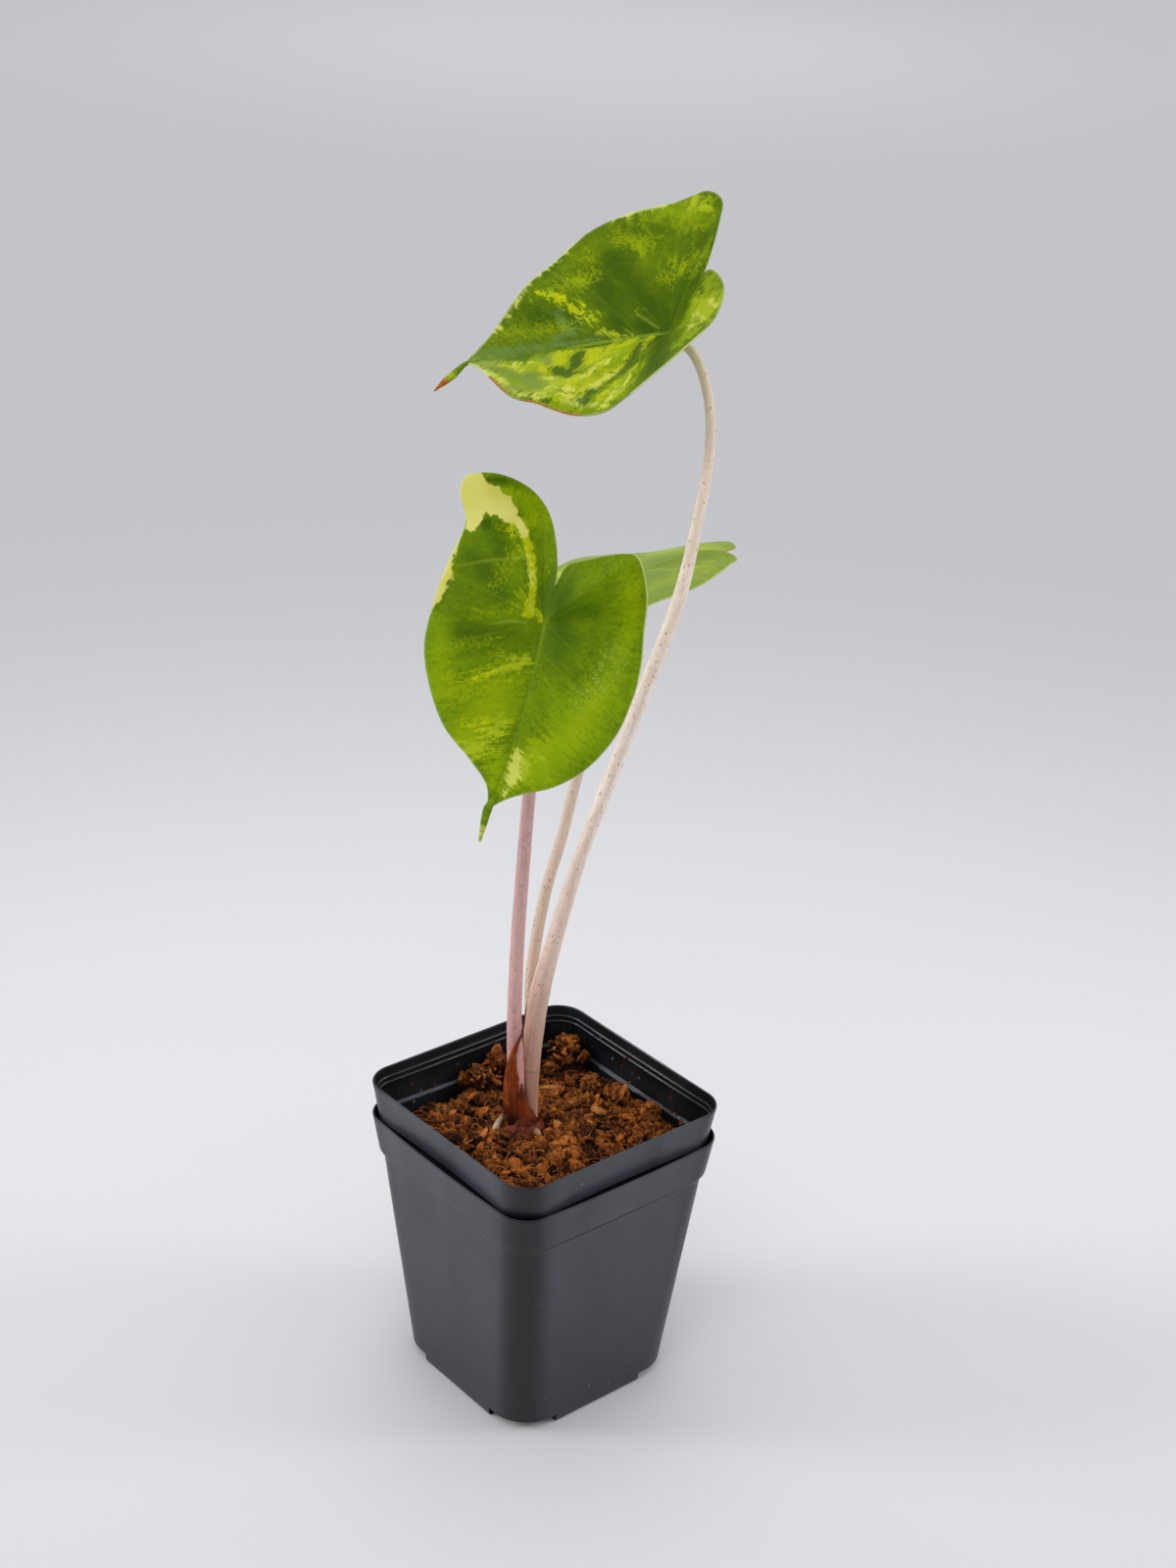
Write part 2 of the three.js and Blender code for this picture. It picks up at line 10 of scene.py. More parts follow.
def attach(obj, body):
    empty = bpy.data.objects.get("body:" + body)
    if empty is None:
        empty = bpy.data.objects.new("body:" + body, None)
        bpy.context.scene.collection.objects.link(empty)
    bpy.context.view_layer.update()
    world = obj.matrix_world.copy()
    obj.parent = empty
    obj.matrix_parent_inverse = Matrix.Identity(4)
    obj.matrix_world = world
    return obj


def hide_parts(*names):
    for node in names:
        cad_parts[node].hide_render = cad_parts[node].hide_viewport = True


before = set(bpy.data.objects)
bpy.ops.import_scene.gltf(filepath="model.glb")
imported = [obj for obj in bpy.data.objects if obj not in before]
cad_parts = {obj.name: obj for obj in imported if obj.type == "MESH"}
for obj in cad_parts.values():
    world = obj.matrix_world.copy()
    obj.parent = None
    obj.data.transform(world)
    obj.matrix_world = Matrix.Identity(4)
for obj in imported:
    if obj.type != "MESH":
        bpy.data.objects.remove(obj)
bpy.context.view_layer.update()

# Lengths below are millimetres, and become metres where a mesh is made.
MM = 0.001


def srgb(red, green, blue):
    """An sRGB colour in 0 to 255 as the linear colour that a shader takes."""
    linear = []
    for value in (red, green, blue):
        share = value / 255
        low = share <= 0.04045
        linear.append(share / 12.92 if low else ((share + 0.055) / 1.055) ** 2.4)
    return (*linear, 1.0)


# Camera: the photograph's viewing angle, worked out from the pot's edges.
CAMERA_AZIMUTH = math.radians(49.5)
CAMERA_ELEVATION = math.radians(24.9)
CAMERA_ROLL = math.radians(2.3)
CAMERA_DISTANCE = 883.1
AIM_RIGHT = 19.0
AIM_UP = 204.2
LENS_MM = 56.25
SENSOR_MM = 36
NEAREST_SEEN = 0.05
FARTHEST_SEEN = 30


def add_camera():
    """The photograph's camera. Gives back its right and its forward direction."""
    flat = math.cos(CAMERA_ELEVATION)
    forward = Vector((
        -math.sin(CAMERA_AZIMUTH) * flat,
        math.cos(CAMERA_AZIMUTH) * flat,
        -math.sin(CAMERA_ELEVATION),
    ))
    level = Vector((math.cos(CAMERA_AZIMUTH), math.sin(CAMERA_AZIMUTH), 0))
    upright = level.cross(forward)
    right = math.cos(CAMERA_ROLL) * level + math.sin(CAMERA_ROLL) * upright
    up = math.cos(CAMERA_ROLL) * upright - math.sin(CAMERA_ROLL) * level
    place = AIM_RIGHT * right + AIM_UP * up - CAMERA_DISTANCE * forward
    data = bpy.data.cameras.new("camera")
    data.lens = LENS_MM
    data.sensor_width = SENSOR_MM
    data.clip_start = NEAREST_SEEN
    data.clip_end = FARTHEST_SEEN
    camera = bpy.data.objects.new("camera", data)
    turn = Matrix((right, up, -forward)).transposed()
    camera.matrix_world = Matrix.Translation(place * MM) @ turn.to_4x4()
    bpy.context.scene.collection.objects.link(camera)
    bpy.context.scene.camera = camera
    return right, forward


camera_right, camera_forward = add_camera()


# Mesh helpers.

def add_piece(name, points, faces, material, node_names, sharp_deg=None, fields=None):
    """A mesh object from points in millimetres, standing for CAD nodes, riding on the one body."""
    mesh = bpy.data.meshes.new(name + "_fine")
    mesh.from_pydata((np.asarray(points, float) * MM).tolist(), [], faces)
    mesh.shade_smooth()
    if sharp_deg is not None:
        mesh.set_sharp_from_angle(angle=math.radians(sharp_deg))
    for field, values in (fields or {}).items():
        values = np.asarray(values, np.float32)
        kind = "FLOAT_VECTOR" if values.ndim == 2 else "FLOAT"
        layer = mesh.attributes.new(field, kind, "POINT")
        layer.data.foreach_set("vector" if values.ndim == 2 else "value", values.ravel())
    mesh.materials.append(material)
    mesh.validate()
    piece = bpy.data.objects.new(name + "_fine", mesh)
    bpy.context.scene.collection.objects.link(piece)
    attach(piece, "root")
    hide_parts(*node_names)


def ring_faces(ring_count, around):
    """Quads between successive rings, each counter-clockwise from above, from the lowest up."""
    faces = []
    for ring in range(ring_count - 1):
        for i in range(around):
            a = ring * around + i
            b = ring * around + (i + 1) % around
            faces.append((a, b, b + around, a + around))
    return faces


def tube_faces(ring_count, around):
    """The quads between rings, with one flat face closing each end."""
    last = (ring_count - 1) * around
    ends = [tuple(reversed(range(around))), tuple(range(last, last + around))]
    return ring_faces(ring_count, around) + ends


class Gathering:
    """One mesh gathered from several parts, with a value of each field at every point."""

    def __init__(self, *fields):
        self.points, self.faces = [], []
        self.fields = {field: [] for field in fields}
        self.total = 0

    def add(self, points, faces, **values):
        start = self.total
        self.faces.extend(tuple(i + start for i in face) for face in faces)
        self.points.append(points)
        for field, value in values.items():
            self.fields[field].append(np.broadcast_to(value, len(points)))
        self.total += len(points)

    def result(self):
        fields = {field: np.concatenate(values) for field, values in self.fields.items()}
        return np.concatenate(self.points), self.faces, fields


def spline(points, per_span):
    """A centripetal Catmull-Rom curve through the points, which may carry extra columns."""
    points = np.asarray(points, float)
    count = len(points)
    curve = []
    for i in range(count - 1):
        here, there = points[i], points[i + 1]
        before = points[i - 1] if i > 0 else 2 * points[0] - points[1]
        after = points[i + 2] if i + 2 < count else 2 * points[-1] - points[-2]
        pairs = ((before, here), (here, there), (there, after))
        steps = [max(np.linalg.norm((q - p)[:3]) ** 0.5, 1e-4) for p, q in pairs]
        span = steps[1]
        leave = (here - before) / steps[0] - (there - before) / (steps[0] + span)
        leave = (leave + (there - here) / span) * span
        arrive = (there - here) / span - (after - here) / (span + steps[2])
        arrive = (arrive + (after - there) / steps[2]) * span
        for k in range(per_span):
            s = k / per_span
            bend = -3 * here + 3 * there - 2 * leave - arrive
            twist = 2 * here - 2 * there + leave + arrive
            curve.append(here + leave * s + bend * s**2 + twist * s**3)
    curve.append(points[-1])
    return np.array(curve)


def spread(curve, shares):
    """Points of a curve at the given shares of its length."""
    lengths = np.linalg.norm(np.diff(curve[:, :3], axis=0), axis=1)
    run = np.concatenate(([0], np.cumsum(lengths)))
    wanted = np.asarray(shares) * run[-1]
    return np.stack([np.interp(wanted, run, curve[:, k]) for k in range(curve.shape[1])], 1)


# The plant's own frame looks from the photograph's side, and is turned onto the pot.
PLANT_TURN = CAMERA_AZIMUTH


def turned(points):
    x, y, z = np.asarray(points, float).T
    across = x * math.cos(PLANT_TURN) - y * math.sin(PLANT_TURN)
    away = x * math.sin(PLANT_TURN) + y * math.cos(PLANT_TURN)
    return np.stack([across, away, z], 1)


# Shader helpers.

class Shader:
    """A procedural material, with short calls for the nodes that it is made of."""

    def __init__(self, name):
        self.material = bpy.data.materials.new(name)
        self.material.use_nodes = True
        self.tree = self.material.node_tree
        self.surface = self.tree.nodes["Principled BSDF"]

    def node(self, kind, inputs, **settings):
        made = self.tree.nodes.new(kind)
        for key, value in settings.items():
            setattr(made, key, value)
        for key, value in inputs.items():
            self.feed(made.inputs[key], value)
        return made

    def feed(self, socket, value):
        if isinstance(value, bpy.types.NodeSocket):
            self.tree.links.new(value, socket)
        else:
            socket.default_value = value

    def set(self, **inputs):
        """Surface inputs by name, with an underscore for each space."""
        for key, value in inputs.items():
            self.feed(self.surface.inputs[key.replace("_", " ")], value)

    def value(self, field):
        return self.node("ShaderNodeAttribute", {}, attribute_name=field).outputs["Fac"]

    def vector(self, field):
        return self.node("ShaderNodeAttribute", {}, attribute_name=field).outputs["Vector"]

    def place(self, kind="Object"):
        return self.node("ShaderNodeTexCoord", {}).outputs[kind]

    def stretch(self, vector, scale, shift=(0, 0, 0)):
        inputs = {"Vector": vector, "Scale": scale, "Location": shift}
        return self.node("ShaderNodeMapping", inputs).outputs["Vector"]

    def noise(self, vector, scale, detail=3.0, rough=0.55, warp=0.0):
        inputs = {"Vector": vector, "Scale": scale, "Detail": detail}
        inputs.update({"Roughness": rough, "Distortion": warp})
        return self.node("ShaderNodeTexNoise", inputs).outputs["Fac"]

    def grain(self, vector, scales, shift=(0, 0, 0), detail=3.0, rough=0.55, warp=0.0):
        """Noise with its own scale along each axis."""
        return self.noise(self.stretch(vector, scales, shift), 1.0, detail, rough, warp)

    def cells(self, vector, scale=1.0):
        return self.node("ShaderNodeTexVoronoi", {"Vector": vector, "Scale": scale}).outputs["Distance"]

    def math(self, operation, first, second=0.0):
        return self.node("ShaderNodeMath", {0: first, 1: second}, operation=operation).outputs[0]

    def plus(self, first, second):
        return self.math("ADD", first, second)

    def times(self, first, second):
        return self.math("MULTIPLY", first, second)

    def ramp(self, value, low, high, to_low=0.0, to_high=1.0):
        inputs = {"Value": value, "From Min": low, "From Max": high}
        inputs.update({"To Min": to_low, "To Max": to_high})
        made = self.node("ShaderNodeMapRange", inputs, interpolation_type="SMOOTHSTEP")
        return made.outputs["Result"]

    def mix(self, share, first, second):
        return self.node("ShaderNodeMix", {0: share, 6: first, 7: second}, data_type="RGBA").outputs[2]

    def tint(self, colour, tone, value, low, high, most=1.0):
        """Lays a tone over a colour, from none at the low value to the most at the high one."""
        return self.mix(self.ramp(value, low, high, 0, most), colour, tone)

    def run(self, value, stops):
        """Colour along a value: stops are (place, colour), each blended into the next."""
        colour = stops[0][1]
        for (low, _), (high, tone) in zip(stops, stops[1:]):
            colour = self.tint(colour, tone, value, low, high)
        return colour

    def bump(self, height, distance, strength=1.0, under=None):
        inputs = {"Height": height, "Distance": distance, "Strength": strength}
        if under is not None:
            inputs["Normal"] = under
        return self.node("ShaderNodeBump", inputs).outputs["Normal"]


# Materials. Noise over the object's place is scaled per metre, over skin and leaf fields per millimetre.

def pot_material(name, seed):
    """Thin satin nursery plastic: a painted reflection on the outer flats, with painted shade at the corners
    and towards the floor, upright flow marks and dust specks.
    """
    shader = Shader(name)
    place = shader.place()
    cloud = shader.noise(shader.stretch(place, (1, 1, 1), (seed, 0, 0)), 28, 3, 0.6)
    flow = shader.grain(place, (60, 60, 9), (seed, 3, 0), 4, 0.6)

    parts = shader.node("ShaderNodeSeparateXYZ", {0: place})
    from_x, from_y = (shader.math("ABSOLUTE", parts.outputs[axis]) for axis in "XY")
    cornered = shader.math("MINIMUM", from_x, from_y)
    cornered = shader.math("DIVIDE", cornered, shader.math("MAXIMUM", from_x, from_y))
    outward = {0: place, 1: shader.place("Normal")}
    outward = shader.node("ShaderNodeVectorMath", outward, operation="DOT_PRODUCT").outputs["Value"]
    outside = shader.ramp(outward, 0.004, 0.02)
    # Painted reflection: the outer flats are lighter than the corners, in clouds, with painted shade towards
    # the floor.
    painted_face_reflection = shader.times(shader.ramp(cornered, 0.9, 0.6), outside)
    painted_face_reflection = shader.times(painted_face_reflection, shader.ramp(cloud, 0.3, 0.6, 0.62, 1.0))
    painted_face_reflection = shader.times(painted_face_reflection, shader.ramp(parts.outputs["Z"], 0.0, 0.1, 0.45, 1.0))

    base = shader.mix(cloud, srgb(13, 15, 19), srgb(18, 21, 25))
    # The painted reflection's colour, laid over the dark plastic.
    base = shader.mix(painted_face_reflection, base, srgb(60, 64, 71))
    base = shader.tint(base, srgb(34, 38, 44), flow, 0.48, 0.7, 0.5)
    scuff = shader.ramp(shader.grain(place, (260, 260, 1400), (seed, 0, 5), 5, 0.7, 1.5), 0.62, 0.7)
    scuff = shader.times(scuff, shader.ramp(cloud, 0.5, 0.62))
    base = shader.mix(shader.times(scuff, 0.5), base, srgb(84, 87, 88))
    speck = shader.ramp(shader.cells(shader.stretch(place, (1, 1, 1), (seed, 1, 2)), 170), 0.12, 0.05)
    speck = shader.times(speck, shader.ramp(shader.noise(place, 42, 1), 0.58, 0.62))
    base = shader.mix(shader.times(speck, 0.6), base, srgb(128, 118, 104))

    rough = shader.plus(shader.ramp(cloud, 0.3, 0.7, 0.33, 0.44), shader.times(scuff, 0.15))
    lumps = shader.bump(shader.noise(place, 55, 2), 0.0006, 0.35)
    fine = shader.bump(shader.noise(place, 1400, 2, 0.6), 0.00005, 0.5, lumps)
    shader.set(Base_Color=base, Roughness=rough, Normal=fine, IOR=1.5)
    shader.set(Specular_IOR_Level=shader.plus(0.26, shader.times(outside, 0.14)))
    return shader.material


def coir_material():
    """Crumbs and fibre, each with its own tone, with painted shade that darkens them in the gaps, from the
    depth field.
    """
    shader = Shader("coir_crumb")
    place = shader.place()
    tone = shader.value("tone")
    grain = shader.grain(place, (1300, 1300, 1300), detail=4, rough=0.7)
    patch = shader.noise(place, 80, 3, 0.6)
    brown = shader.mix(tone, srgb(60, 23, 9), srgb(206, 118, 42))
    brown = shader.tint(brown, srgb(92, 40, 18), patch, 0.44, 0.6, 0.65)
    brown = shader.tint(brown, srgb(200, 136, 70), tone, 0.86, 1.0, 0.8)
    brown = shader.tint(brown, srgb(192, 118, 58), grain, 0.5, 0.66, 0.5)
    brown = shader.tint(brown, srgb(58, 27, 14), grain, 0.5, 0.38, 0.7)
    # Painted shade: near black where the depth field is low, in the gaps and under the bits.
    brown = shader.tint(brown, srgb(15, 7, 4), shader.value("depth"), 0.9, 0.15, 0.98)
    shader.set(Base_Color=brown, Roughness=0.95, Normal=shader.bump(grain, 0.0006), Specular_IOR_Level=0.15)
    return shader.material


def stalk_material(name, stops, fleck, scar):
    """A leaf stalk: colours along its length, fine lengthwise lines, brown flecks and a ring scar."""
    shader = Shader(name)
    length = shader.value("length")
    skin = shader.vector("skin")
    mottle = shader.grain(skin, (0.5, 0.5, 0.12), detail=4, rough=0.6)
    lines = shader.grain(skin, (3.0, 3.0, 0.05), detail=3, rough=0.6)
    drift = shader.times(shader.math("SUBTRACT", mottle, 0.5), 0.08)
    colour = shader.run(shader.plus(length, drift), stops)
    colour = shader.tint(colour, srgb(244, 230, 216), lines, 0.35, 0.75, 0.25)
    colour = shader.tint(colour, fleck, mottle, 0.6, 0.38, 0.22)
    for fineness, reach, share in ((0.6, 0.26, 0.55), (1.1, 0.24, 0.5)):
        dots = shader.cells(shader.stretch(skin, (fineness, fineness, fineness * 0.6)))
        dots = shader.times(shader.ramp(dots, reach, reach * 0.45), shader.ramp(mottle, 0.4, 0.5))
        colour = shader.mix(shader.times(dots, share), colour, srgb(150, 92, 78))
    off = shader.math("SUBTRACT", shader.plus(length, shader.times(mottle, 0.008)), scar + 0.004)
    colour = shader.tint(colour, srgb(120, 78, 60), shader.math("ABSOLUTE", off), 0.002, 0.0006, 0.35)
    shader.set(Base_Color=colour, Roughness=0.5, Subsurface_Weight=0.12, Subsurface_Scale=0.002)
    shader.set(Normal=shader.bump(lines, 0.00025, 0.5), Subsurface_Radius=(1.0, 0.55, 0.35))
    shader.set(Specular_IOR_Level=0.25)
    return shader.material


def sheath_material():
    """A dried papery sheath: dark at its foot, orange brown above, with lengthwise fibre."""
    shader = Shader("dried_sheath_skin")
    skin = shader.vector("skin")
    length = shader.value("length")
    fibre = shader.grain(skin, (2.4, 2.4, 0.14), detail=4, rough=0.65)
    blotch = shader.grain(skin, (0.5, 0.5, 0.25), (4, 0, 0))
    colour = shader.tint(srgb(44, 18, 14), srgb(136, 60, 22), length, 0.04, 0.3)
    colour = shader.tint(colour, srgb(92, 46, 30), length, 0.55, 0.9)
    colour = shader.tint(colour, srgb(186, 100, 44), blotch, 0.48, 0.66, 0.6)
    colour = shader.tint(colour, srgb(84, 36, 18), fibre, 0.45, 0.66, 0.6)
    shader.set(Base_Color=colour, Roughness=0.42, Normal=shader.bump(fibre, 0.0005, 0.7))
    shader.set(Specular_IOR_Level=0.3)
    return shader.material


def corm_material():
    """Dark maroon stem base, ringed, with a painted sheen and white root tips."""
    shader = Shader("corm_skin")
    place = shader.place()
    rings = shader.grain(place, (120, 120, 900), detail=3, rough=0.6)
    sheen = shader.grain(place, (260, 260, 120), detail=2)
    colour = shader.tint(srgb(74, 28, 16), srgb(118, 54, 32), shader.noise(place, 330, 3), 0.38, 0.62)
    colour = shader.tint(colour, srgb(40, 17, 13), rings, 0.52, 0.7, 0.6)
    # Painted sheen: lighter patches standing for the corm's glossy highlights.
    colour = shader.tint(colour, srgb(150, 82, 56), sheen, 0.58, 0.7, 0.4)
    tip = shader.mix(shader.noise(place, 600, 2), srgb(176, 142, 106), srgb(226, 212, 188))
    colour = shader.mix(shader.value("white"), colour, tip)
    shader.set(Base_Color=colour, Roughness=0.45, Normal=shader.bump(rings, 0.0006, 0.7))
    shader.set(Specular_IOR_Level=0.1)
    return shader.material


# The painted fields of a leaf, from the lowest layer to the top one. The first two are a painted light and a
# painted shade over the folds, and the one before cream is a painted sheen.
PAINT_LAYERS = (
    "painted_light", "dark", "fleck", "lime", "glow", "yellow", "band", "haze", "island", "painted_sheen", "cream",
)


def leaf_material(name, seed, pallor, low, high):
    """A marbled leaf. Painted fields say where each colour lies, and noise frays their edges; some of them
    are painted light, painted shade and a painted sheen.
    """
    shader = Shader(name)
    leaf = shader.vector("leaf")
    flow = shader.vector("flow")
    cloud = shader.grain(leaf, (0.06, 0.06, 0.06), (seed, 0, 0), 3, 0.6, 0.4)
    streak = shader.grain(flow, (0.62, 0.17, 0.1), (0, seed, 0), 6, 0.7, 0.6)
    fine = shader.grain(leaf, (0.75, 0.75, 0.75), (seed, 2, 0), 6, 0.78, 0.3)
    blot = shader.grain(flow, (0.3, 0.13, 0.1), (seed, 5, 0), 5, 0.72, 0.8)
    nib = shader.grain(leaf, (0.34, 0.34, 0.34), (seed, 9, 0), 5, 0.6)
    speck = shader.grain(leaf, (0.85, 0.85, 0.85), (seed, 4, 0), 7, 0.82)

    # Ways for an edge to stray, in millimetres: torn along the veins, bitten, or broken into specks.
    fray = -17.5
    for source, reach in ((streak, 16.0), (fine, 10.0), (blot, 9.0)):
        fray = shader.plus(shader.times(source, reach), fray)
    fray = shader.times(fray, shader.value("ragged"))
    bite = shader.times(shader.math("SUBTRACT", nib, 0.5), 5.0)
    speckle = shader.times(shader.math("SUBTRACT", speck, 0.5), 34.0)
    speckle = shader.plus(speckle, shader.times(fray, 0.6))

    yellow = shader.tint(srgb(152, 164, 0), srgb(180, 186, 14), fine, 0.4, 0.6)
    cream = shader.tint(srgb(194, 188, 88), srgb(208, 203, 112), cloud, 0.35, 0.65)
    colour = shader.tint(low, high, cloud, 0.36, 0.62)
    colour = shader.tint(colour, srgb(118, 144, 2), streak, 0.5, 0.6, 0.4)
    colour = shader.tint(colour, srgb(62, 88, 0), fine, 0.5, 0.4, 0.5)

    # Each layer: field, tone, edge softness, how it strays and by how much, strength, and inset.
    layers = (
        # Painted light: broad soft patches of lighter green where the blade catches more light.
        ("painted_light", srgb(130, 156, 0), 7.0, fray, 0.9, 0.8, 0.0),
        # Painted shade: soft darker green in the folds and by the stalk.
        ("dark", srgb(42, 72, 0), 5.5, fray, 0.6, 0.75, 0.0),
        ("fleck", srgb(136, 152, 0), 0.8, speckle, 1.0, 0.6, 3.6),
        ("lime", srgb(132, 154, 2), 1.6, fray, 1.3, 0.8, 0.0),
        ("glow", srgb(158, 172, 26), 1.5, fray, 1.1, 0.85, 0.0),
        ("yellow", yellow, 0.6, fray, 0.75, 0.92, 0.0),
        ("band", yellow, 0.5, bite, 0.8, 0.9, 0.0),
        ("haze", srgb(194, 198, 88), 0.8, fray, 0.5, 0.8, 0.0),
        ("island", srgb(56, 84, 0), 0.5, fray, 0.55, 0.92, 0.0),
        # Painted sheen: grey-green patches where the blade reflects the light.
        ("painted_sheen", srgb(94, 120, 52), 1.2, fray, 0.7, 0.7, 0.0),
        ("cream", cream, 0.3, bite, 1.0, 1.0, 0.0),
    )
    for field, tone, soft, stray, share, most, inset in layers:
        inside = shader.plus(shader.times(stray, share), shader.value(field))
        colour = shader.tint(colour, tone, inside, inset - soft, inset + soft, most)

    colour = shader.tint(colour, srgb(156, 176, 50), shader.value("line"), -0.6, 0.1, 0.3)
    dust = shader.ramp(shader.cells(shader.stretch(leaf, (1.6, 1.6, 1.6))), 0.42, 0.14)
    dust = shader.times(shader.times(dust, shader.ramp(fine, 0.45, 0.55)), shader.value("dust"))
    colour = shader.mix(shader.times(dust, 0.7), colour, srgb(172, 190, 118))
    vein, rib = shader.value("vein"), shader.value("rib")
    colour = shader.mix(shader.times(vein, 0.12), colour, srgb(150, 176, 30))
    colour = shader.mix(shader.times(rib, 0.5), colour, srgb(134, 160, 46))
    # Painted highlight: a pale line along parts of the margin.
    colour = shader.mix(shader.value("rim"), colour, srgb(206, 212, 150))
    burnt = shader.tint(srgb(186, 104, 38), srgb(132, 62, 20), fine, 0.4, 0.6)
    burn = shader.plus(shader.value("burn"), shader.times(fray, 0.05))
    colour = shader.tint(colour, burnt, burn, -0.15, 0.2, 0.9)

    back = shader.tint(srgb(108, 140, 48), srgb(132, 160, 66), cloud, 0.35, 0.65)
    back = shader.tint(back, srgb(176, 188, 84), shader.value("yellow"), -3, 1, 0.6)
    back = shader.tint(back, srgb(150, 174, 74), shader.value("lime"), -2, 3, 0.5)
    back = shader.tint(back, srgb(218, 216, 156), shader.value("cream"), -0.8, 0.6, 0.9)
    back = shader.mix(shader.times(vein, 0.4), back, srgb(164, 186, 108))
    back = shader.mix(shader.times(rib, 0.6), back, srgb(190, 200, 140))
    colour = shader.mix(shader.value("under"), colour, back)
    colour = shader.mix(pallor, colour, srgb(168, 186, 102))

    relief = shader.bump(shader.grain(leaf, (1.2, 1.2, 1.2), detail=3, rough=0.6), 0.00015, 0.6)
    gloss = shader.ramp(fine, 0.35, 0.65, 0.42, 0.52)
    shader.set(Base_Color=colour, Roughness=gloss, Normal=relief, Specular_IOR_Level=0.05)
    shader.set(Subsurface_Weight=0.08, Subsurface_Scale=0.0012, Subsurface_Radius=(0.6, 1.0, 0.1))
    return shader.material


# Pots: two alike, thin soft plastic, each with a collar band below its rim.
POT_HEIGHT = 97.0
RIM_HALF = 45.0
RIM_CORNER = 10.8
BASE_CORNER = 14.0
WALL = 0.8
NEST_RAISE = 12.6
LIP_HALF = 44.55
LIP_CORNER = RIM_CORNER - 0.4
LIP_RISE = 0.08
FOOT_HALF_LENGTH = 18.5
CORNER_RAISE = 3.6
DRAIN_RADIUS = 3.5
DRAIN_POINTS = 28
DRAIN_CORNER_AT = 23.0
DRAIN_ARM_AT = 25.0
DRAIN_SPAN = (-2, 7)
# How far the cutting shapes run past what they cut.
CUTTER_MARGIN = 10
CUTTER_DEPTH = 60
HOLLOW_OVERRUN = 1.0

# Softness of the walls, as the sideways bow of a side's middle: depths below the rim, and bows.
OUTER_BOW = ((0, 15, 40, 97), (1.0, 0.3, 0.0, 0.0))
NESTED_BOW = ((0, 13.8, 15.5, 45, 97), (0.0, -1.0, -1.0, -0.3, 0.0))

STRAIGHT_POINTS = 19
ARC_STEPS = 14


def square_ring(half, corner, bow, height):
    """Points round a rounded square, with sides that bow at their middle."""
    reach = half - corner
    side = []
    for i in range(1, STRAIGHT_POINTS + 1):
        share = 2 * i / (STRAIGHT_POINTS + 1) - 1
        side.append((half + bow * (1 - share * share), share * reach))
    for i in range(ARC_STEPS + 1):
        angle = i * math.pi / (2 * ARC_STEPS)
        side.append((reach + corner * math.cos(angle), reach + corner * math.sin(angle)))
    side = np.array(side)
    ring = []
    for quarter in range(4):
        turn = quarter * math.pi / 2
        x = side[:, 0] * math.cos(turn) - side[:, 1] * math.sin(turn)
        y = side[:, 0] * math.sin(turn) + side[:, 1] * math.cos(turn)
        ring.append(np.stack([x, y, np.full(len(side), height)], 1))
    return np.concatenate(ring)


def corner_at(depth):
    return RIM_CORNER + (BASE_CORNER - RIM_CORNER) * depth / POT_HEIGHT


# Half-widths down the wall as (depth, half-width), with soft turns at the collar, lip and inner ridges.
OUTSIDE = (
    (0.0, 44.75), (0.15, 44.93), (0.5, 45.0), (1.0, 44.9), (4, 44.55), (8, 44.08), (11, 43.72),
    (13.0, 43.48), (13.6, 43.38), (14.0, 43.2), (14.4, 42.92), (14.8, 42.66), (15.2, 42.45),
    (15.7, 42.3), (17, 42.15), (25, 41.45), (35, 40.55), (45, 39.66), (55, 38.76), (65, 37.87),
    (75, 36.97), (85, 36.07), (92, 35.45), (95.6, 35.1), (96.4, 34.85), (97, 34.2),
)
INSIDE = (
    (0.0, 44.4), (0.2, 44.25), (0.6, 44.18), (2.6, 43.98), (3.4, 43.9), (3.8, 43.62), (4.2, 43.62),
    (4.6, 43.78), (5.4, 43.7), (5.8, 43.42), (6.2, 43.42), (6.7, 43.58), (10, 43.1), (13.2, 42.62),
    (13.9, 42.5), (14.15, 42.3), (14.4, 41.75), (14.7, 41.48), (15.2, 41.36), (17, 41.2),
    (25, 40.55), (35, 39.7), (45, 38.82), (55, 37.94), (65, 37.06), (75, 36.18), (85, 35.28),
    (92, 34.65), (96.2, 34.2),
)


def closed_loft(rings):
    """A solid from rings, from the lowest up, with a fan at each end."""
    around = len(rings[0])
    points = np.concatenate(rings)
    faces = ring_faces(len(rings), around)
    middles = [rings[0].mean(0), rings[-1].mean(0)]
    low = len(points)
    top_start = (len(rings) - 1) * around
    for i in range(around):
        j = (i + 1) % around
        faces.append((low, j, i))
        faces.append((low + 1, top_start + i, top_start + j))
    return np.concatenate([points, middles]), faces


def scratch_object(points, faces):
    mesh = bpy.data.meshes.new("scratch")
    mesh.from_pydata(np.asarray(points, float).tolist(), [], faces)
    made = bpy.data.objects.new("scratch", mesh)
    bpy.context.scene.collection.objects.link(made)
    return made


def block(low, high):
    x0, y0, z0 = low
    x1, y1, z1 = high
    points = [(x, y, z) for z in (z0, z1) for x, y in ((x0, y0), (x1, y0), (x1, y1), (x0, y1))]
    sides = [(0, 1, 5, 4), (1, 2, 6, 5), (2, 3, 7, 6), (3, 0, 4, 7)]
    return points, sides + [(3, 2, 1, 0), (4, 5, 6, 7)]


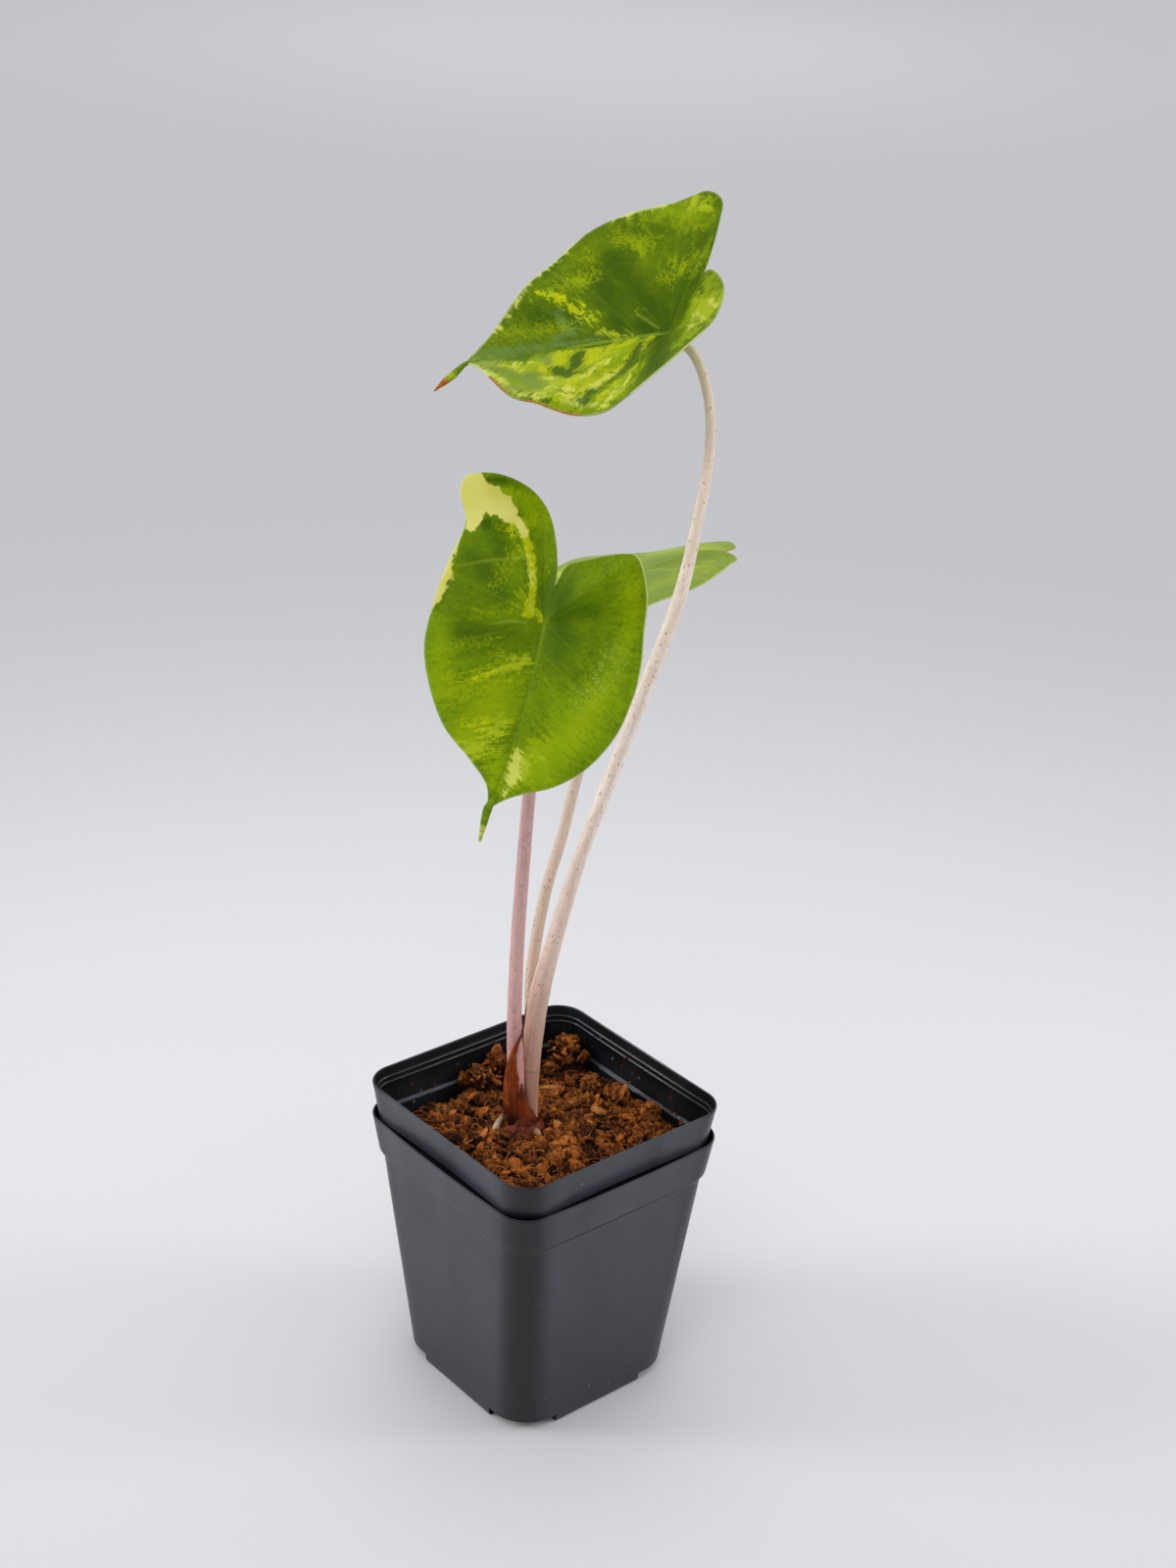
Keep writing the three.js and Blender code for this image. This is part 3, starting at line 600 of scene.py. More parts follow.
def cut(target, cutters):
    """Takes each cutter out of the target, and removes the cutters."""
    for cutter in cutters:
        change = target.modifiers.new("cut", "BOOLEAN")
        change.operation = "DIFFERENCE"
        change.solver = "EXACT"
        change.object = cutter
    shaped = bpy.data.meshes.new_from_object(
        target.evaluated_get(bpy.context.evaluated_depsgraph_get())
    )
    points = np.array([v.co for v in shaped.vertices])
    faces = [tuple(p.vertices) for p in shaped.polygons]
    for used in (target, *cutters):
        data = used.data
        bpy.data.objects.remove(used)
        bpy.data.meshes.remove(data)
    bpy.data.meshes.remove(shaped)
    return points, faces


def corner_cutters(start, top):
    """Blocks that leave only the foot's two crossed bars standing below a height."""
    cutters = []
    far = RIM_HALF + CUTTER_MARGIN
    for sx in (-1, 1):
        for sy in (-1, 1):
            xs = sorted((sx * start, sx * far))
            ys = sorted((sy * start, sy * far))
            cutters.append(scratch_object(*block((xs[0], ys[0], top - CUTTER_DEPTH), (xs[1], ys[1], top))))
    return cutters


def drain_cutters(base):
    """Drain holes: one in each corner of the floor and one in each arm of the foot."""
    cutters = []
    for quarter in range(4):
        arm = quarter * math.pi / 2
        diagonal = arm + math.pi / 4
        corner_reach = DRAIN_CORNER_AT * math.sqrt(2)
        for reach, angle in ((corner_reach, diagonal), (DRAIN_ARM_AT, arm)):
            centre = np.array([reach * math.cos(angle), reach * math.sin(angle), 0])
            turns = np.arange(DRAIN_POINTS) * 2 * math.pi / DRAIN_POINTS
            rim = np.stack([DRAIN_RADIUS * np.cos(turns), DRAIN_RADIUS * np.sin(turns), 0 * turns], 1)
            rings = [rim + centre + (0, 0, base + z) for z in DRAIN_SPAN]
            cutters.append(scratch_object(*closed_loft(rings)))
    return cutters


def profile_rings(profile, bow, base, wall):
    rings = []
    for depth, half in reversed(profile):
        bend = np.interp(depth, *bow)
        rings.append(square_ring(half, corner_at(depth) - wall, bend, base + POT_HEIGHT - depth))
    return rings


def pot(name, base, bow, seed):
    """A lofted body less a lofted hollow, both notched at the base corners, and less the drain holes."""
    outside = profile_rings(OUTSIDE, bow, base, 0)
    lip = square_ring(LIP_HALF, LIP_CORNER, bow[1][0], base + POT_HEIGHT + LIP_RISE)
    inside = profile_rings(INSIDE, bow, base, WALL)
    body = scratch_object(*closed_loft([*outside, lip]))
    shell = scratch_object(*cut(body, corner_cutters(FOOT_HALF_LENGTH, base + CORNER_RAISE)))
    over = inside[-1] + (0, 0, HOLLOW_OVERRUN)
    hollow = scratch_object(*closed_loft([*inside, over]))
    floor_top = base + CORNER_RAISE + WALL
    hollow = scratch_object(*cut(hollow, corner_cutters(FOOT_HALF_LENGTH - WALL, floor_top)))
    points, faces = cut(shell, [hollow, *drain_cutters(base)])
    add_piece(name, points, faces, pot_material(name + "_plastic", seed), [name], 32)


pot("outer_pot", 0.0, OUTER_BOW, 3.0)
pot("inner_pot", NEST_RAISE, NESTED_BOW, 11.0)


# Coir: the solid's own lumps, by the same seeded rule, covered in chips, crumbs and fibres.
STEM_X = -7.4
STEM_Y = 1.1
COIR_LEVEL = 94.6
COIR_SLOPE = 0.075
WALL_DIP = 4.5
WALL_DIP_AT = -42.0
WALL_DIP_REACH = 9.0
STEM_DIP = 1.6
STEM_DIP_REACH = 10.0
CALM_FROM_STEM = 8.0
CALM_REACH = 3.0
LUMP_COUNT = 110
LUMP_FIELD = 84.0
# The seeded rule that the solid's lumps follow too, and three big lumps listed one by one.
LUMP_SEED = 20.0
LUMP_FACTOR = 1103515245.0
LUMP_STEP = 12345.0
LUMP_RANGE = 2147483648.0
BIG_LUMPS = [(-37, 6, 6.5, 5, 1.4, 7.5), (-31, 36.5, 7, 5.5, 0.6, 9.5), (-6, 35, 6, 4.5, 0.2, 3.5)]


def coir_lumps():
    """The lumps of the solid's top: x, y, long and short half-width, turn and height."""
    state = LUMP_SEED

    def draw():
        nonlocal state
        state = math.fmod(state * LUMP_FACTOR + LUMP_STEP, LUMP_RANGE)
        return state / LUMP_RANGE

    lumps = []
    for _ in range(LUMP_COUNT):
        x = (draw() - 0.5) * LUMP_FIELD
        y = (draw() - 0.5) * LUMP_FIELD
        long = 3.2 + 3.6 * draw()
        short = long * (0.5 + 0.4 * draw())
        turn = math.pi * draw()
        lumps.append((x, y, long, short, turn, 0.8 + 2 * draw()))
    return lumps + BIG_LUMPS


LUMPS = coir_lumps()
STEM_WORLD = turned([(STEM_X, STEM_Y, 0)])[0]


def coir_height(x, y):
    """Height of the coir's top at points given as arrays."""
    away = -x * math.sin(PLANT_TURN) + y * math.cos(PLANT_TURN)
    wall_dip = WALL_DIP * np.exp(-(((x - WALL_DIP_AT) / WALL_DIP_REACH) ** 2))
    from_stem = np.hypot(x - STEM_WORLD[0], y - STEM_WORLD[1])
    stem_dip = STEM_DIP * np.exp(-((from_stem / STEM_DIP_REACH) ** 2))
    chip = np.zeros_like(x)
    for cx, cy, long, short, turn, height in LUMPS:
        u = ((x - cx) * math.cos(turn) + (y - cy) * math.sin(turn)) / long
        v = ((y - cy) * math.cos(turn) - (x - cx) * math.sin(turn)) / short
        chip = np.maximum(chip, height * np.sqrt(np.clip(1 - u * u - v * v, 0, 1)))
    calm = np.clip((from_stem - CALM_FROM_STEM) / CALM_REACH, 0, 1)
    return COIR_LEVEL - COIR_SLOPE * away - wall_dip - stem_dip + chip * calm


def inner_half(z):
    """Half-width of the inner pot's inside at a height."""
    depths, halves = zip(*INSIDE)
    return np.interp(NEST_RAISE + POT_HEIGHT - z, depths, halves)


def rounded_lump(cuts):
    """Corners and triangles of a ball that lumps are shaped from."""
    ball = bmesh.new()
    bmesh.ops.create_icosphere(ball, subdivisions=cuts, radius=1.0)
    corners = np.array([v.co for v in ball.verts])
    faces = [tuple(v.index for v in face.verts) for face in ball.faces]
    ball.free()
    return corners, faces


# Bigger light chunks that stand out of the coir: x, y, z, size and lightness.
CHUNKS = (
    (-39, -5, 96, 3.0, 0.7), (-24, 38, 97, 2.6, 0.7), (-12, -30, 94.5, 2.6, 0.55),
    (24, -12, 93.6, 2.6, 0.5), (30, 4, 92.6, 2.6, 0.6), (14, 33, 94.0, 2.6, 0.7),
    (-22, -22, 95, 2.4, 0.8),
)
# Matted clods, much bigger than the crumbs: x, y, z, reach and lightness.
CLODS = (
    (-38, 8.5, 99.5, 4.8, 0.88), (-36, -0.5, 97.5, 4.6, 0.88), (-31, 36.5, 99.5, 5.2, 0.86),
    (-34, 14, 96.5, 3.2, 0.6), (-9, 29, 96.5, 3.6, 0.85), (1, 33, 95.5, 4.2, 0.9),
    (8, 27, 94.5, 3.0, 0.8), (-3, 22, 95.5, 3.0, 0.7), (22, 22, 92.5, 3.2, 0.6),
    (-26, -16, 95.5, 3.0, 0.7), (14, -22, 93.5, 3.2, 0.6), (-26, 24, 96.5, 3.0, 0.8),
    (32, -8, 91.5, 3.0, 0.7), (-14, -24, 94.5, 2.8, 0.8), (16, 10, 93.0, 2.8, 0.75),
)
COIR_SEED = 41
NUGGET_COUNT = 120
CLUMP_COUNT = 110
CRUMB_COUNT = 700
CHIP_COUNT = 260
FIBRE_COUNT = 420
WALL_CRUMB_COUNT = 70

# How far out from the middle the coir's own mass, and the loose bits on it, may lie.
MASS_HALF = 41.0
LOOSE_HALF = 41.3
LOOSE_CORNER = 10.0
STEM_CLEARANCE = 7.2
# The mass lies this far below the solid's top, and the loose bits are heaped on it.
MASS_SUNK = 2.2
# Depths below the rim at which crumbs cling to the inner pot's wall.
WALL_CRUMB_DEPTHS = (14.2, 13.6, 9, 5, 18)

FIBRE_STEPS = 7
CHIP_SIDES = 6
# A chip's rings: places along it, and how wide it is there.
CHIP_RINGS = ((-1, 0.55), (-0.3, 1.0), (0.45, 0.95), (1, 0.5))

CRUMB = rounded_lump(1)
PEBBLE = rounded_lump(2)
NUGGET = rounded_lump(3)


def chip_faces():
    faces = []
    for ring in range(len(CHIP_RINGS) - 1):
        for i in range(CHIP_SIDES):
            a = ring * CHIP_SIDES + i
            b = ring * CHIP_SIDES + (i + 1) % CHIP_SIDES
            faces.append((a, a + CHIP_SIDES, b + CHIP_SIDES, b))
    last = (len(CHIP_RINGS) - 1) * CHIP_SIDES
    faces.append(tuple(range(CHIP_SIDES)))
    faces.append(tuple(reversed(range(last, last + CHIP_SIDES))))
    return faces


CHIP_FACES = chip_faces()


def surface_at(x, y):
    return float(coir_height(np.array([x]), np.array([y]))[0])


def room_at(z):
    """How far out from the middle loose coir may lie at a height."""
    return min(float(inner_half(z)), LOOSE_HALF)


def held(value, half):
    return min(max(value, -half), half)


def roughness(x, y):
    """Unevenness of the coir's mass at a place, in millimetres."""
    return 1.5 * noise.noise(Vector((x * 0.35, y * 0.35, 1.0))) + noise.noise(Vector((x * 0.9, y * 0.9, 5.0)))


class Coir(Gathering):
    """The coir in one mesh. Each point has a tone, and a depth of painted shade that is 1 where it lies open
    to the light.
    """

    def __init__(self):
        super().__init__("tone", "depth")
        self.draw = random.Random(COIR_SEED)

    def mass(self):
        """Solid coir under the loose bits: two rings down the wall, then rough rings over its top."""
        rim = NEST_RAISE + POT_HEIGHT
        rings = []
        for z in (24, 60):
            bow = np.interp(rim - z, *NESTED_BOW)
            rings.append(square_ring(inner_half(z) - 0.4, corner_at(rim - z) - WALL, bow, z))
        base_ring = square_ring(MASS_HALF, 10.4, -0.95, 0.0)
        for share in np.concatenate([[1.0], np.linspace(0.985, 0.02, 66)]):
            ring = base_ring * share
            height = coir_height(ring[:, 0], ring[:, 1])
            if share > 0.96:
                lower = np.minimum(inner_half(height) - 0.5, MASS_HALF) / MASS_HALF
                ring[:, :2] *= lower[:, None]
            rough = [roughness(x, y) for x, y, _ in ring]
            ring[:, 2] = height - MASS_SUNK + np.array(rough)
            rings.append(ring)
        points = np.concatenate(rings)
        tone = [0.18 + 0.3 * self.draw.random() for _ in points]
        # The mass gets a low depth: painted shade under the loose bits.
        self.add(points, tube_faces(len(rings), len(base_ring)), tone=tone, depth=0.35)

    def spin(self):
        axis = Vector([self.draw.gauss(0, 1) for _ in range(3)]).normalized()
        return np.array(Matrix.Rotation(self.draw.uniform(0, 2 * math.pi), 3, axis))

    def scatter(self, margin):
        """A seeded place on the coir inside the wall, clear of the stem."""
        while True:
            x = self.draw.uniform(-MASS_HALF, MASS_HALF)
            y = self.draw.uniform(-MASS_HALF, MASS_HALF)
            z = surface_at(x, y)
            half = room_at(z) - margin - 0.9
            over_x = max(abs(x) - (half - LOOSE_CORNER), 0)
            over_y = max(abs(y) - (half - LOOSE_CORNER), 0)
            inside = abs(x) < half and abs(y) < half and math.hypot(over_x, over_y) < LOOSE_CORNER
            from_stem = math.hypot(x - STEM_WORLD[0], y - STEM_WORLD[1])
            if inside and from_stem > STEM_CLEARANCE + margin * 0.6:
                return x, y, z

    # A crumb's depth is painted shade, lower for crumbs that sit deep among the others.
    def crumb(self, x, y, z, size, tone, depth):
        corners, faces = CRUMB
        jolts = np.array([[self.draw.uniform(0.62, 1.35)] for _ in corners])
        stretch = np.array([self.draw.uniform(0.9, 1.7), 1.0, self.draw.uniform(0.6, 1.0)])
        shape = (corners * jolts * stretch * size) @ self.spin().T
        self.add(shape + (x, y, z), faces, tone=tone, depth=depth)

    def nugget(self, x, y, z, size, tone, ball=NUGGET, light=1.0):
        """A lumpy crumb of matted coir, big enough to show its own hollows."""
        corners, faces = ball
        stretch = np.array([self.draw.uniform(*reach) for reach in ((0.9, 1.5), (0.8, 1.1), (0.6, 0.85))])
        place = Vector((self.draw.uniform(0, 90), self.draw.uniform(0, 90), 0))
        coarse = [noise.noise(Vector(p) * 1.7 + place) for p in corners]
        small = [noise.noise(Vector(p) * 4 + place) for p in corners]
        swell = 1 + 0.55 * np.array(coarse) + 0.3 * np.array(small)
        shape = (corners * swell[:, None] * stretch * size) @ self.spin().T
        # Painted shade: darker low on the lump and in its hollows, scaled by light.
        rise = (shape[:, 2] + size) / (2 * size)
        hollow = np.clip((swell - 0.75) / 0.5, 0, 1)
        shade = np.clip(0.15 + 0.6 * rise, 0, 1) * (0.45 + 0.55 * hollow) * light
        self.add(shape + (x, y, z), faces, tone=tone, depth=shade)

    def chip(self, x, y, z, size, flatness):
        """An angular chip: rough rings of six, closed at the ends."""
        draw = self.draw
        long = size * draw.uniform(0.9, 1.7)
        wide = size * draw.uniform(0.5, 0.85)
        thick = size * flatness * draw.uniform(0.7, 1.2)
        shape = []
        for ring, (at, scale) in enumerate(CHIP_RINGS):
            for i in range(CHIP_SIDES):
                angle = i * math.pi / 3 + 0.3 * ring
                jolt = draw.uniform(0.72, 1.2)
                ahead = long * (at + draw.uniform(-0.12, 0.12))
                aside = wide * scale * jolt * math.cos(angle)
                shape.append((ahead, aside, thick * scale * jolt * math.sin(angle)))
        lean = Matrix.Rotation(draw.gauss(0, 0.42), 3, "X") @ Matrix.Rotation(draw.gauss(0, 0.38), 3, "Y")
        way = np.array(Matrix.Rotation(draw.uniform(0, 2 * math.pi), 3, "Z") @ lean)
        shape = np.array(shape) @ way.T
        # Painted shade: the chip darkens towards its underside.
        low, high = shape[:, 2].min(), shape[:, 2].max()
        rise = (shape[:, 2] - low) / max(high - low, 1e-6)
        tone = 0.2 + 0.8 * draw.random()
        self.add(shape + (x, y, z), CHIP_FACES, tone=tone, depth=0.25 + 0.75 * rise)

    def clump(self, x, y, z, reach, count):
        """Crumbs heaped together, bigger on top, with painted light on top and painted shade in the dark gaps
        round the heap.
        """
        draw = self.draw
        clump_tone = draw.random()
        for _ in range(count):
            turn = draw.uniform(0, 2 * math.pi)
            out = reach * math.sqrt(draw.random())
            rise = 0.9 * reach * math.sqrt(max(0, 1 - (out / reach) ** 2)) * draw.uniform(0.5, 1)
            size = draw.uniform(0.45, 1.15) * (0.7 + 0.08 * reach)
            # Painted shade, lighter higher up the heap.
            shade = 0.2 + 0.8 * rise / (0.9 * reach)
            half = room_at(z + rise) - 1.6
            cx = held(x + out * math.cos(turn), half)
            cy = held(y + out * math.sin(turn), half)
            self.crumb(cx, cy, z - 1.8 + rise, size, 0.6 * clump_tone + 0.4 * draw.random(), shade)

    def clod(self, x, y, z, reach, light):
        """A matted clod: a core with small lumps and crumbs grown over it."""
        draw = self.draw
        self.nugget(x, y, z, reach * 0.9, light * 0.95, NUGGET, 0.95)
        for _ in range(int(14 + reach * 9)):
            way = Vector((draw.gauss(0, 1), draw.gauss(0, 1), draw.gauss(0.3, 1))).normalized()
            size = reach * draw.uniform(0.1, 0.3)
            px = x + way.x * reach * draw.uniform(0.6, 1.15)
            py = y + way.y * reach * draw.uniform(0.6, 1.15)
            pz = z + way.z * reach * 0.6
            half = room_at(pz) - size - 0.8
            px, py = held(px, half), held(py, half)
            tone = min(0.9, light * draw.uniform(0.75, 1.05))
            # Painted shade: bits under the clod get a lower depth than bits on top.
            if draw.random() < 0.45:
                self.nugget(px, py, pz, size, tone, PEBBLE, 0.7 + 0.3 * way.z)
            else:
                self.crumb(px, py, pz, size * 0.7, tone, 0.75 + 0.25 * way.z)

    def fibre(self):
        """A thin three-sided strand that arches over the surface."""
        draw = self.draw
        x, y, z = self.scatter(3.2)
        heading = draw.uniform(0, 2 * math.pi)
        bend = draw.gauss(0, 0.35)
        length = draw.uniform(2.0, 7.5)
        run = []
        for k in range(FIBRE_STEPS):
            arch = 0.9 * math.sin(math.pi * k / (FIBRE_STEPS - 1)) * draw.uniform(0.5, 1)
            run.append((x, y, z + 0.6 + arch))
            heading += bend
            x += math.cos(heading) * length / FIBRE_STEPS
            y += math.sin(heading) * length / FIBRE_STEPS
        radius = draw.uniform(0.07, 0.19)
        shape = []
        for px, py, pz in run:
            for angle in (0, 2 * math.pi / 3, 4 * math.pi / 3):
                across, up = radius * math.cos(angle), radius * math.sin(angle)
                shape.append((px + across, py + up * 0.7, pz + up))
        self.add(np.array(shape), tube_faces(FIBRE_STEPS, 3), tone=draw.uniform(0.5, 1.0), depth=1.0)

    def wall_crumb(self):
        """A crumb that clings to the inner pot's wall, more often on two of its sides."""
        draw = self.draw
        side = draw.choice((0, 0, 1, 1, 2, 3))
        along = draw.uniform(-34, 34)
        z = NEST_RAISE + POT_HEIGHT - draw.choice(WALL_CRUMB_DEPTHS) + draw.uniform(-0.6, 0.6)
        size = draw.uniform(0.2, 0.55)
        half = float(inner_half(z)) - 1.0
        x, y = ((half, along), (along, half), (-half, along), (along, -half))[side]
        self.crumb(x, y, z, size, draw.random() * 0.5, 0.6)

    def fill(self):
        """All the coir, in the fixed order that the seeded draws follow."""
        draw = self.draw
        self.mass()
        for _ in range(NUGGET_COUNT):
            size = draw.uniform(1.5, 3.3)
            x, y, z = self.scatter(size * 1.2)
            self.nugget(x, y, z - 0.4 * size + draw.uniform(-0.3, 0.9), size, draw.random())
        for chunk in CHUNKS:
            self.nugget(*chunk)
        for clod in CLODS:
            self.clod(*clod)
        for _ in range(CLUMP_COUNT):
            reach = draw.uniform(1.6, 4.4)
            self.clump(*self.scatter(reach * 0.6), reach, int(3 + reach * 4.2))
        for _ in range(CRUMB_COUNT):
            size = draw.uniform(0.3, 0.8)
            x, y, z = self.scatter(size)
            z = z - 0.6 + draw.uniform(-0.5, 0.4)
            self.crumb(x, y, z, size, draw.random() * 0.7, draw.uniform(0.2, 0.7))
        for _ in range(CHIP_COUNT):
            size = draw.uniform(0.8, 2.9)
            x, y, z = self.scatter(size)
            self.chip(x, y, z + draw.uniform(-0.6, 0.5), size, 0.45)
        for _ in range(FIBRE_COUNT):
            self.fibre()
        for _ in range(WALL_CRUMB_COUNT):
            self.wall_crumb()


def coir():
    made = Coir()
    made.fill()
    points, faces, fields = made.result()
    add_piece("coir_medium", points, faces, coir_material(), ["coir_medium"], 30, fields)


coir()


# Tubes for stalks, roots and tails.

# Points of the smooth path from one station to the next.
PER_SPAN = 24
# Rings along a root or a tail, and points round it.
ROOT_STEPS = 24
TAIL_STEPS = 40
THIN_AROUND = 14


def tube(stations, steps, around, shape=None):
    """Rings along stations of x, y, z, half-width across and half-width in depth.

    Gives points, faces, each point's place on the unrolled skin, and its share of the length.
    """
    stations = np.asarray(stations, float)
    spans = len(stations) - 1
    curve = spline(stations[:, :3], PER_SPAN)
    where = np.linspace(0, spans * PER_SPAN, steps + 1)
    index = np.arange(len(curve))
    path = np.stack([np.interp(where, index, curve[:, k]) for k in range(3)], 1)
    at_station = where / PER_SPAN
    halves = np.stack([np.interp(at_station, np.arange(spans + 1), stations[:, k]) for k in (3, 4)], 1)
    tangent = np.gradient(path, axis=0)
    tangent /= np.linalg.norm(tangent, axis=1)[:, None]
    across = np.array([1.0, 0, 0]) - tangent * tangent[:, :1]
    across /= np.linalg.norm(across, axis=1)[:, None]
    deep = np.cross(tangent, across)
    turns = np.arange(around) * 2 * math.pi / around
    run = np.concatenate(([0], np.cumsum(np.linalg.norm(np.diff(path, axis=0), axis=1))))
    points, skin, share = [], [], []
    for k in range(steps + 1):
        swell = shape(run[k] / run[-1], turns) if shape else np.ones(around)
        wide, thick = halves[k]
        u = (wide * swell * np.cos(turns))[:, None]
        v = (thick * swell * np.sin(turns))[:, None]
        points.append(path[k] + u * across[k] + v * deep[k])
        skin.append(np.stack([wide * np.cos(turns), thick * np.sin(turns), np.full(around, run[k])], 1))
        share.append(np.full(around, run[k] / run[-1]))
    faces = tube_faces(steps + 1, around)
    return np.concatenate(points), faces, np.concatenate(skin), np.concatenate(share)


# A stalk's groove: its depth as a share of the radius, and its width in radians.
GROOVE_DEPTH = 0.05
GROOVE_WIDTH = 0.35
STALK_AROUND = 32
STALK_UPPER = [
    [-3.9, 0.4, 96.5, 2.1, 2.1], [-4.4, 0.6, 113.9, 2.5, 2.3], [-4.1, 1.1, 132.5, 3.4, 2.9],
    [-2.5, 1.1, 147.8, 3.5, 3], [1.5, 0.1, 167.6, 2.8, 2.6], [9.5, -1.9, 201.6, 2.3, 2.2],
    [18.9, -3.9, 233.1, 2.35, 2.2], [28, -6, 264, 2.3, 2.2], [36.5, -7.9, 293.7, 2.2, 2.1],
    [40.3, -8.9, 316.3, 1.8, 1.7], [43, -9.9, 341.4, 1.5, 1.5], [41.5, -9.2, 358.5, 1.5, 1.5],
    [36.5, -6.8, 370, 1.5, 1.5], [30.4, -5.1, 373.6, 1.1, 0.9],
]
STALK_FRONT = [
    [-9.2, -0.6, 96.5, 2.7, 2.1], [-9.5, -1.4, 112, 2.8, 2.2], [-10.2, -2.6, 126, 2.75, 2.3],
    [-10.7, -4.9, 140.3, 2.5, 2.3], [-10.2, -9.9, 172.1, 2.3, 2.2], [-8.8, -16.9, 205.3, 2.2, 2.1],
    [-7.4, -24.9, 232.5, 2.1, 2], [-5.4, -33.9, 260.5, 1.95, 1.9], [-4, -41.9, 283, 1.8, 1.8],
    [-3.9, -46.0, 296.9, 1.3, 1.2],
]
STALK_BACK = [
    [-6.2, 4.9, 96.5, 1.8, 1.7], [-5.6, 6, 112, 1.9, 1.8], [-5.4, 7.6, 125.8, 2, 1.9],
    [-5.8, 10.1, 149, 2.1, 2], [-1.9, 16.1, 178.2, 2, 1.9], [2.7, 21.1, 195.9, 1.9, 1.8],
    [7.1, 26.1, 216.5, 1.85, 1.8], [14.1, 33.1, 244.5, 1.75, 1.7], [20, 37.1, 265.8, 1.7, 1.6],
    [24.6, 39.1, 284.5, 1.5, 1.5],
]


def stalk_section(share, turns):
    """A stalk's slightly uneven section, with a shallow groove down one side."""
    groove = 1 - GROOVE_DEPTH * np.exp(-((np.mod(turns + 0.6, 2 * math.pi) - math.pi) / GROOVE_WIDTH) ** 2)
    return groove + 0.008 * np.sin(7 * turns + 9 * share)


def stalk(name, stations, material, steps):
    points, faces, skin, share = tube(stations, steps, STALK_AROUND, stalk_section)
    fields = {"skin": skin, "length": share}
    add_piece(name, turned(points), faces, material, [name], 50, fields)


# Colours along the stalks, from the foot up. The darker foot is partly the stalks' own colour and partly
# painted shade inside the pot.
UPPER_STOPS = (
    (0.03, srgb(170, 116, 92)), (0.09, srgb(188, 141, 120)), (0.15, srgb(200, 164, 148)),
    (0.26, srgb(228, 204, 190)), (0.5, srgb(250, 234, 222)), (0.8, srgb(250, 232, 216)),
    (0.93, srgb(234, 216, 190)), (1.0, srgb(196, 196, 138)),
)
FRONT_STOPS = (
    (0.03, srgb(178, 112, 100)), (0.1, srgb(214, 152, 148)), (0.3, srgb(210, 164, 160)),
    (0.6, srgb(202, 158, 156)), (1.0, srgb(196, 160, 146)),
)
BACK_STOPS = (
    (0.04, srgb(176, 134, 114)), (0.2, srgb(206, 182, 160)),
    (0.6, srgb(216, 194, 178)), (1.0, srgb(186, 190, 146)),
)

stalk("petiole_upper", STALK_UPPER,
      stalk_material("stalk_beige", UPPER_STOPS, srgb(192, 158, 138), 0.073), 260)
stalk("petiole_front", STALK_FRONT,
      stalk_material("stalk_pink", FRONT_STOPS, srgb(152, 106, 108), -0.1), 190)
stalk("petiole_back", STALK_BACK,
      stalk_material("stalk_buff", BACK_STOPS, srgb(188, 156, 134), -0.1), 190)


# Corm with two root tips. Its profile is (height, radius).
CORM_AROUND = 48
CORM_PROFILE = (
    (80, 6), (84, 8), (88, 8.8), (90, 8.8), (92, 8.4), (93.4, 8.0), (94.6, 7.6), (95.6, 7.2),
    (96.4, 6.7), (97.1, 6.2), (98, 5.8), (99, 5.5), (100.2, 5.2), (101.5, 4.9), (102.8, 4.5),
    (103.8, 3.8), (104.4, 2.2),
)
ROOT_LEFT = [
    [-12.4, -0.4, 101.5, 0.6, 0.7], [-14, -1.4, 99.6, 0.9, 0.8], [-15.3, -2.2, 97.6, 1.0, 0.9],
    [-16.2, -2.8, 95.6, 1.15, 0.9], [-16.6, -3.1, 93.4, 0.7, 0.6],
]
ROOT_RIGHT = [
    [-4, -1, 95, 1.2, 1.1], [-2.1, -3.2, 95.4, 1.1, 1.0], [-1, -4.5, 94.4, 0.95, 0.9],
    [-0.3, -5.3, 92.6, 0.8, 0.7], [0, -5.7, 90.2, 0.4, 0.4],
]


def corm():
    turns = np.arange(CORM_AROUND) * 2 * math.pi / CORM_AROUND
    rings = []
    for z, radius in CORM_PROFILE:
        wobble = [
            1 + 0.13 * noise.noise(Vector((math.cos(t) * 1.3, math.sin(t) * 1.3, z * 0.16)))
            + 0.05 * noise.noise(Vector((math.cos(t) * 4, math.sin(t) * 4, z * 0.9)))
            for t in turns
        ]
        reach = radius * np.array(wobble)
        x = STEM_X + reach * np.cos(turns)
        y = STEM_Y + reach * np.sin(turns)
        rings.append(np.stack([x, y, np.full(CORM_AROUND, float(z))], 1))
    gathered = Gathering("white")
    gathered.add(*closed_loft(rings), white=0.0)
    for stations in (ROOT_LEFT, ROOT_RIGHT):
        points, faces, _, share = tube(stations, ROOT_STEPS, THIN_AROUND)
        gathered.add(points, faces, white=np.clip((share - 0.15) / 0.5, 0, 1))
    points, faces, fields = gathered.result()
    add_piece("corm", turned(points), faces, corm_material(), ["corm"], 40, fields)


corm()


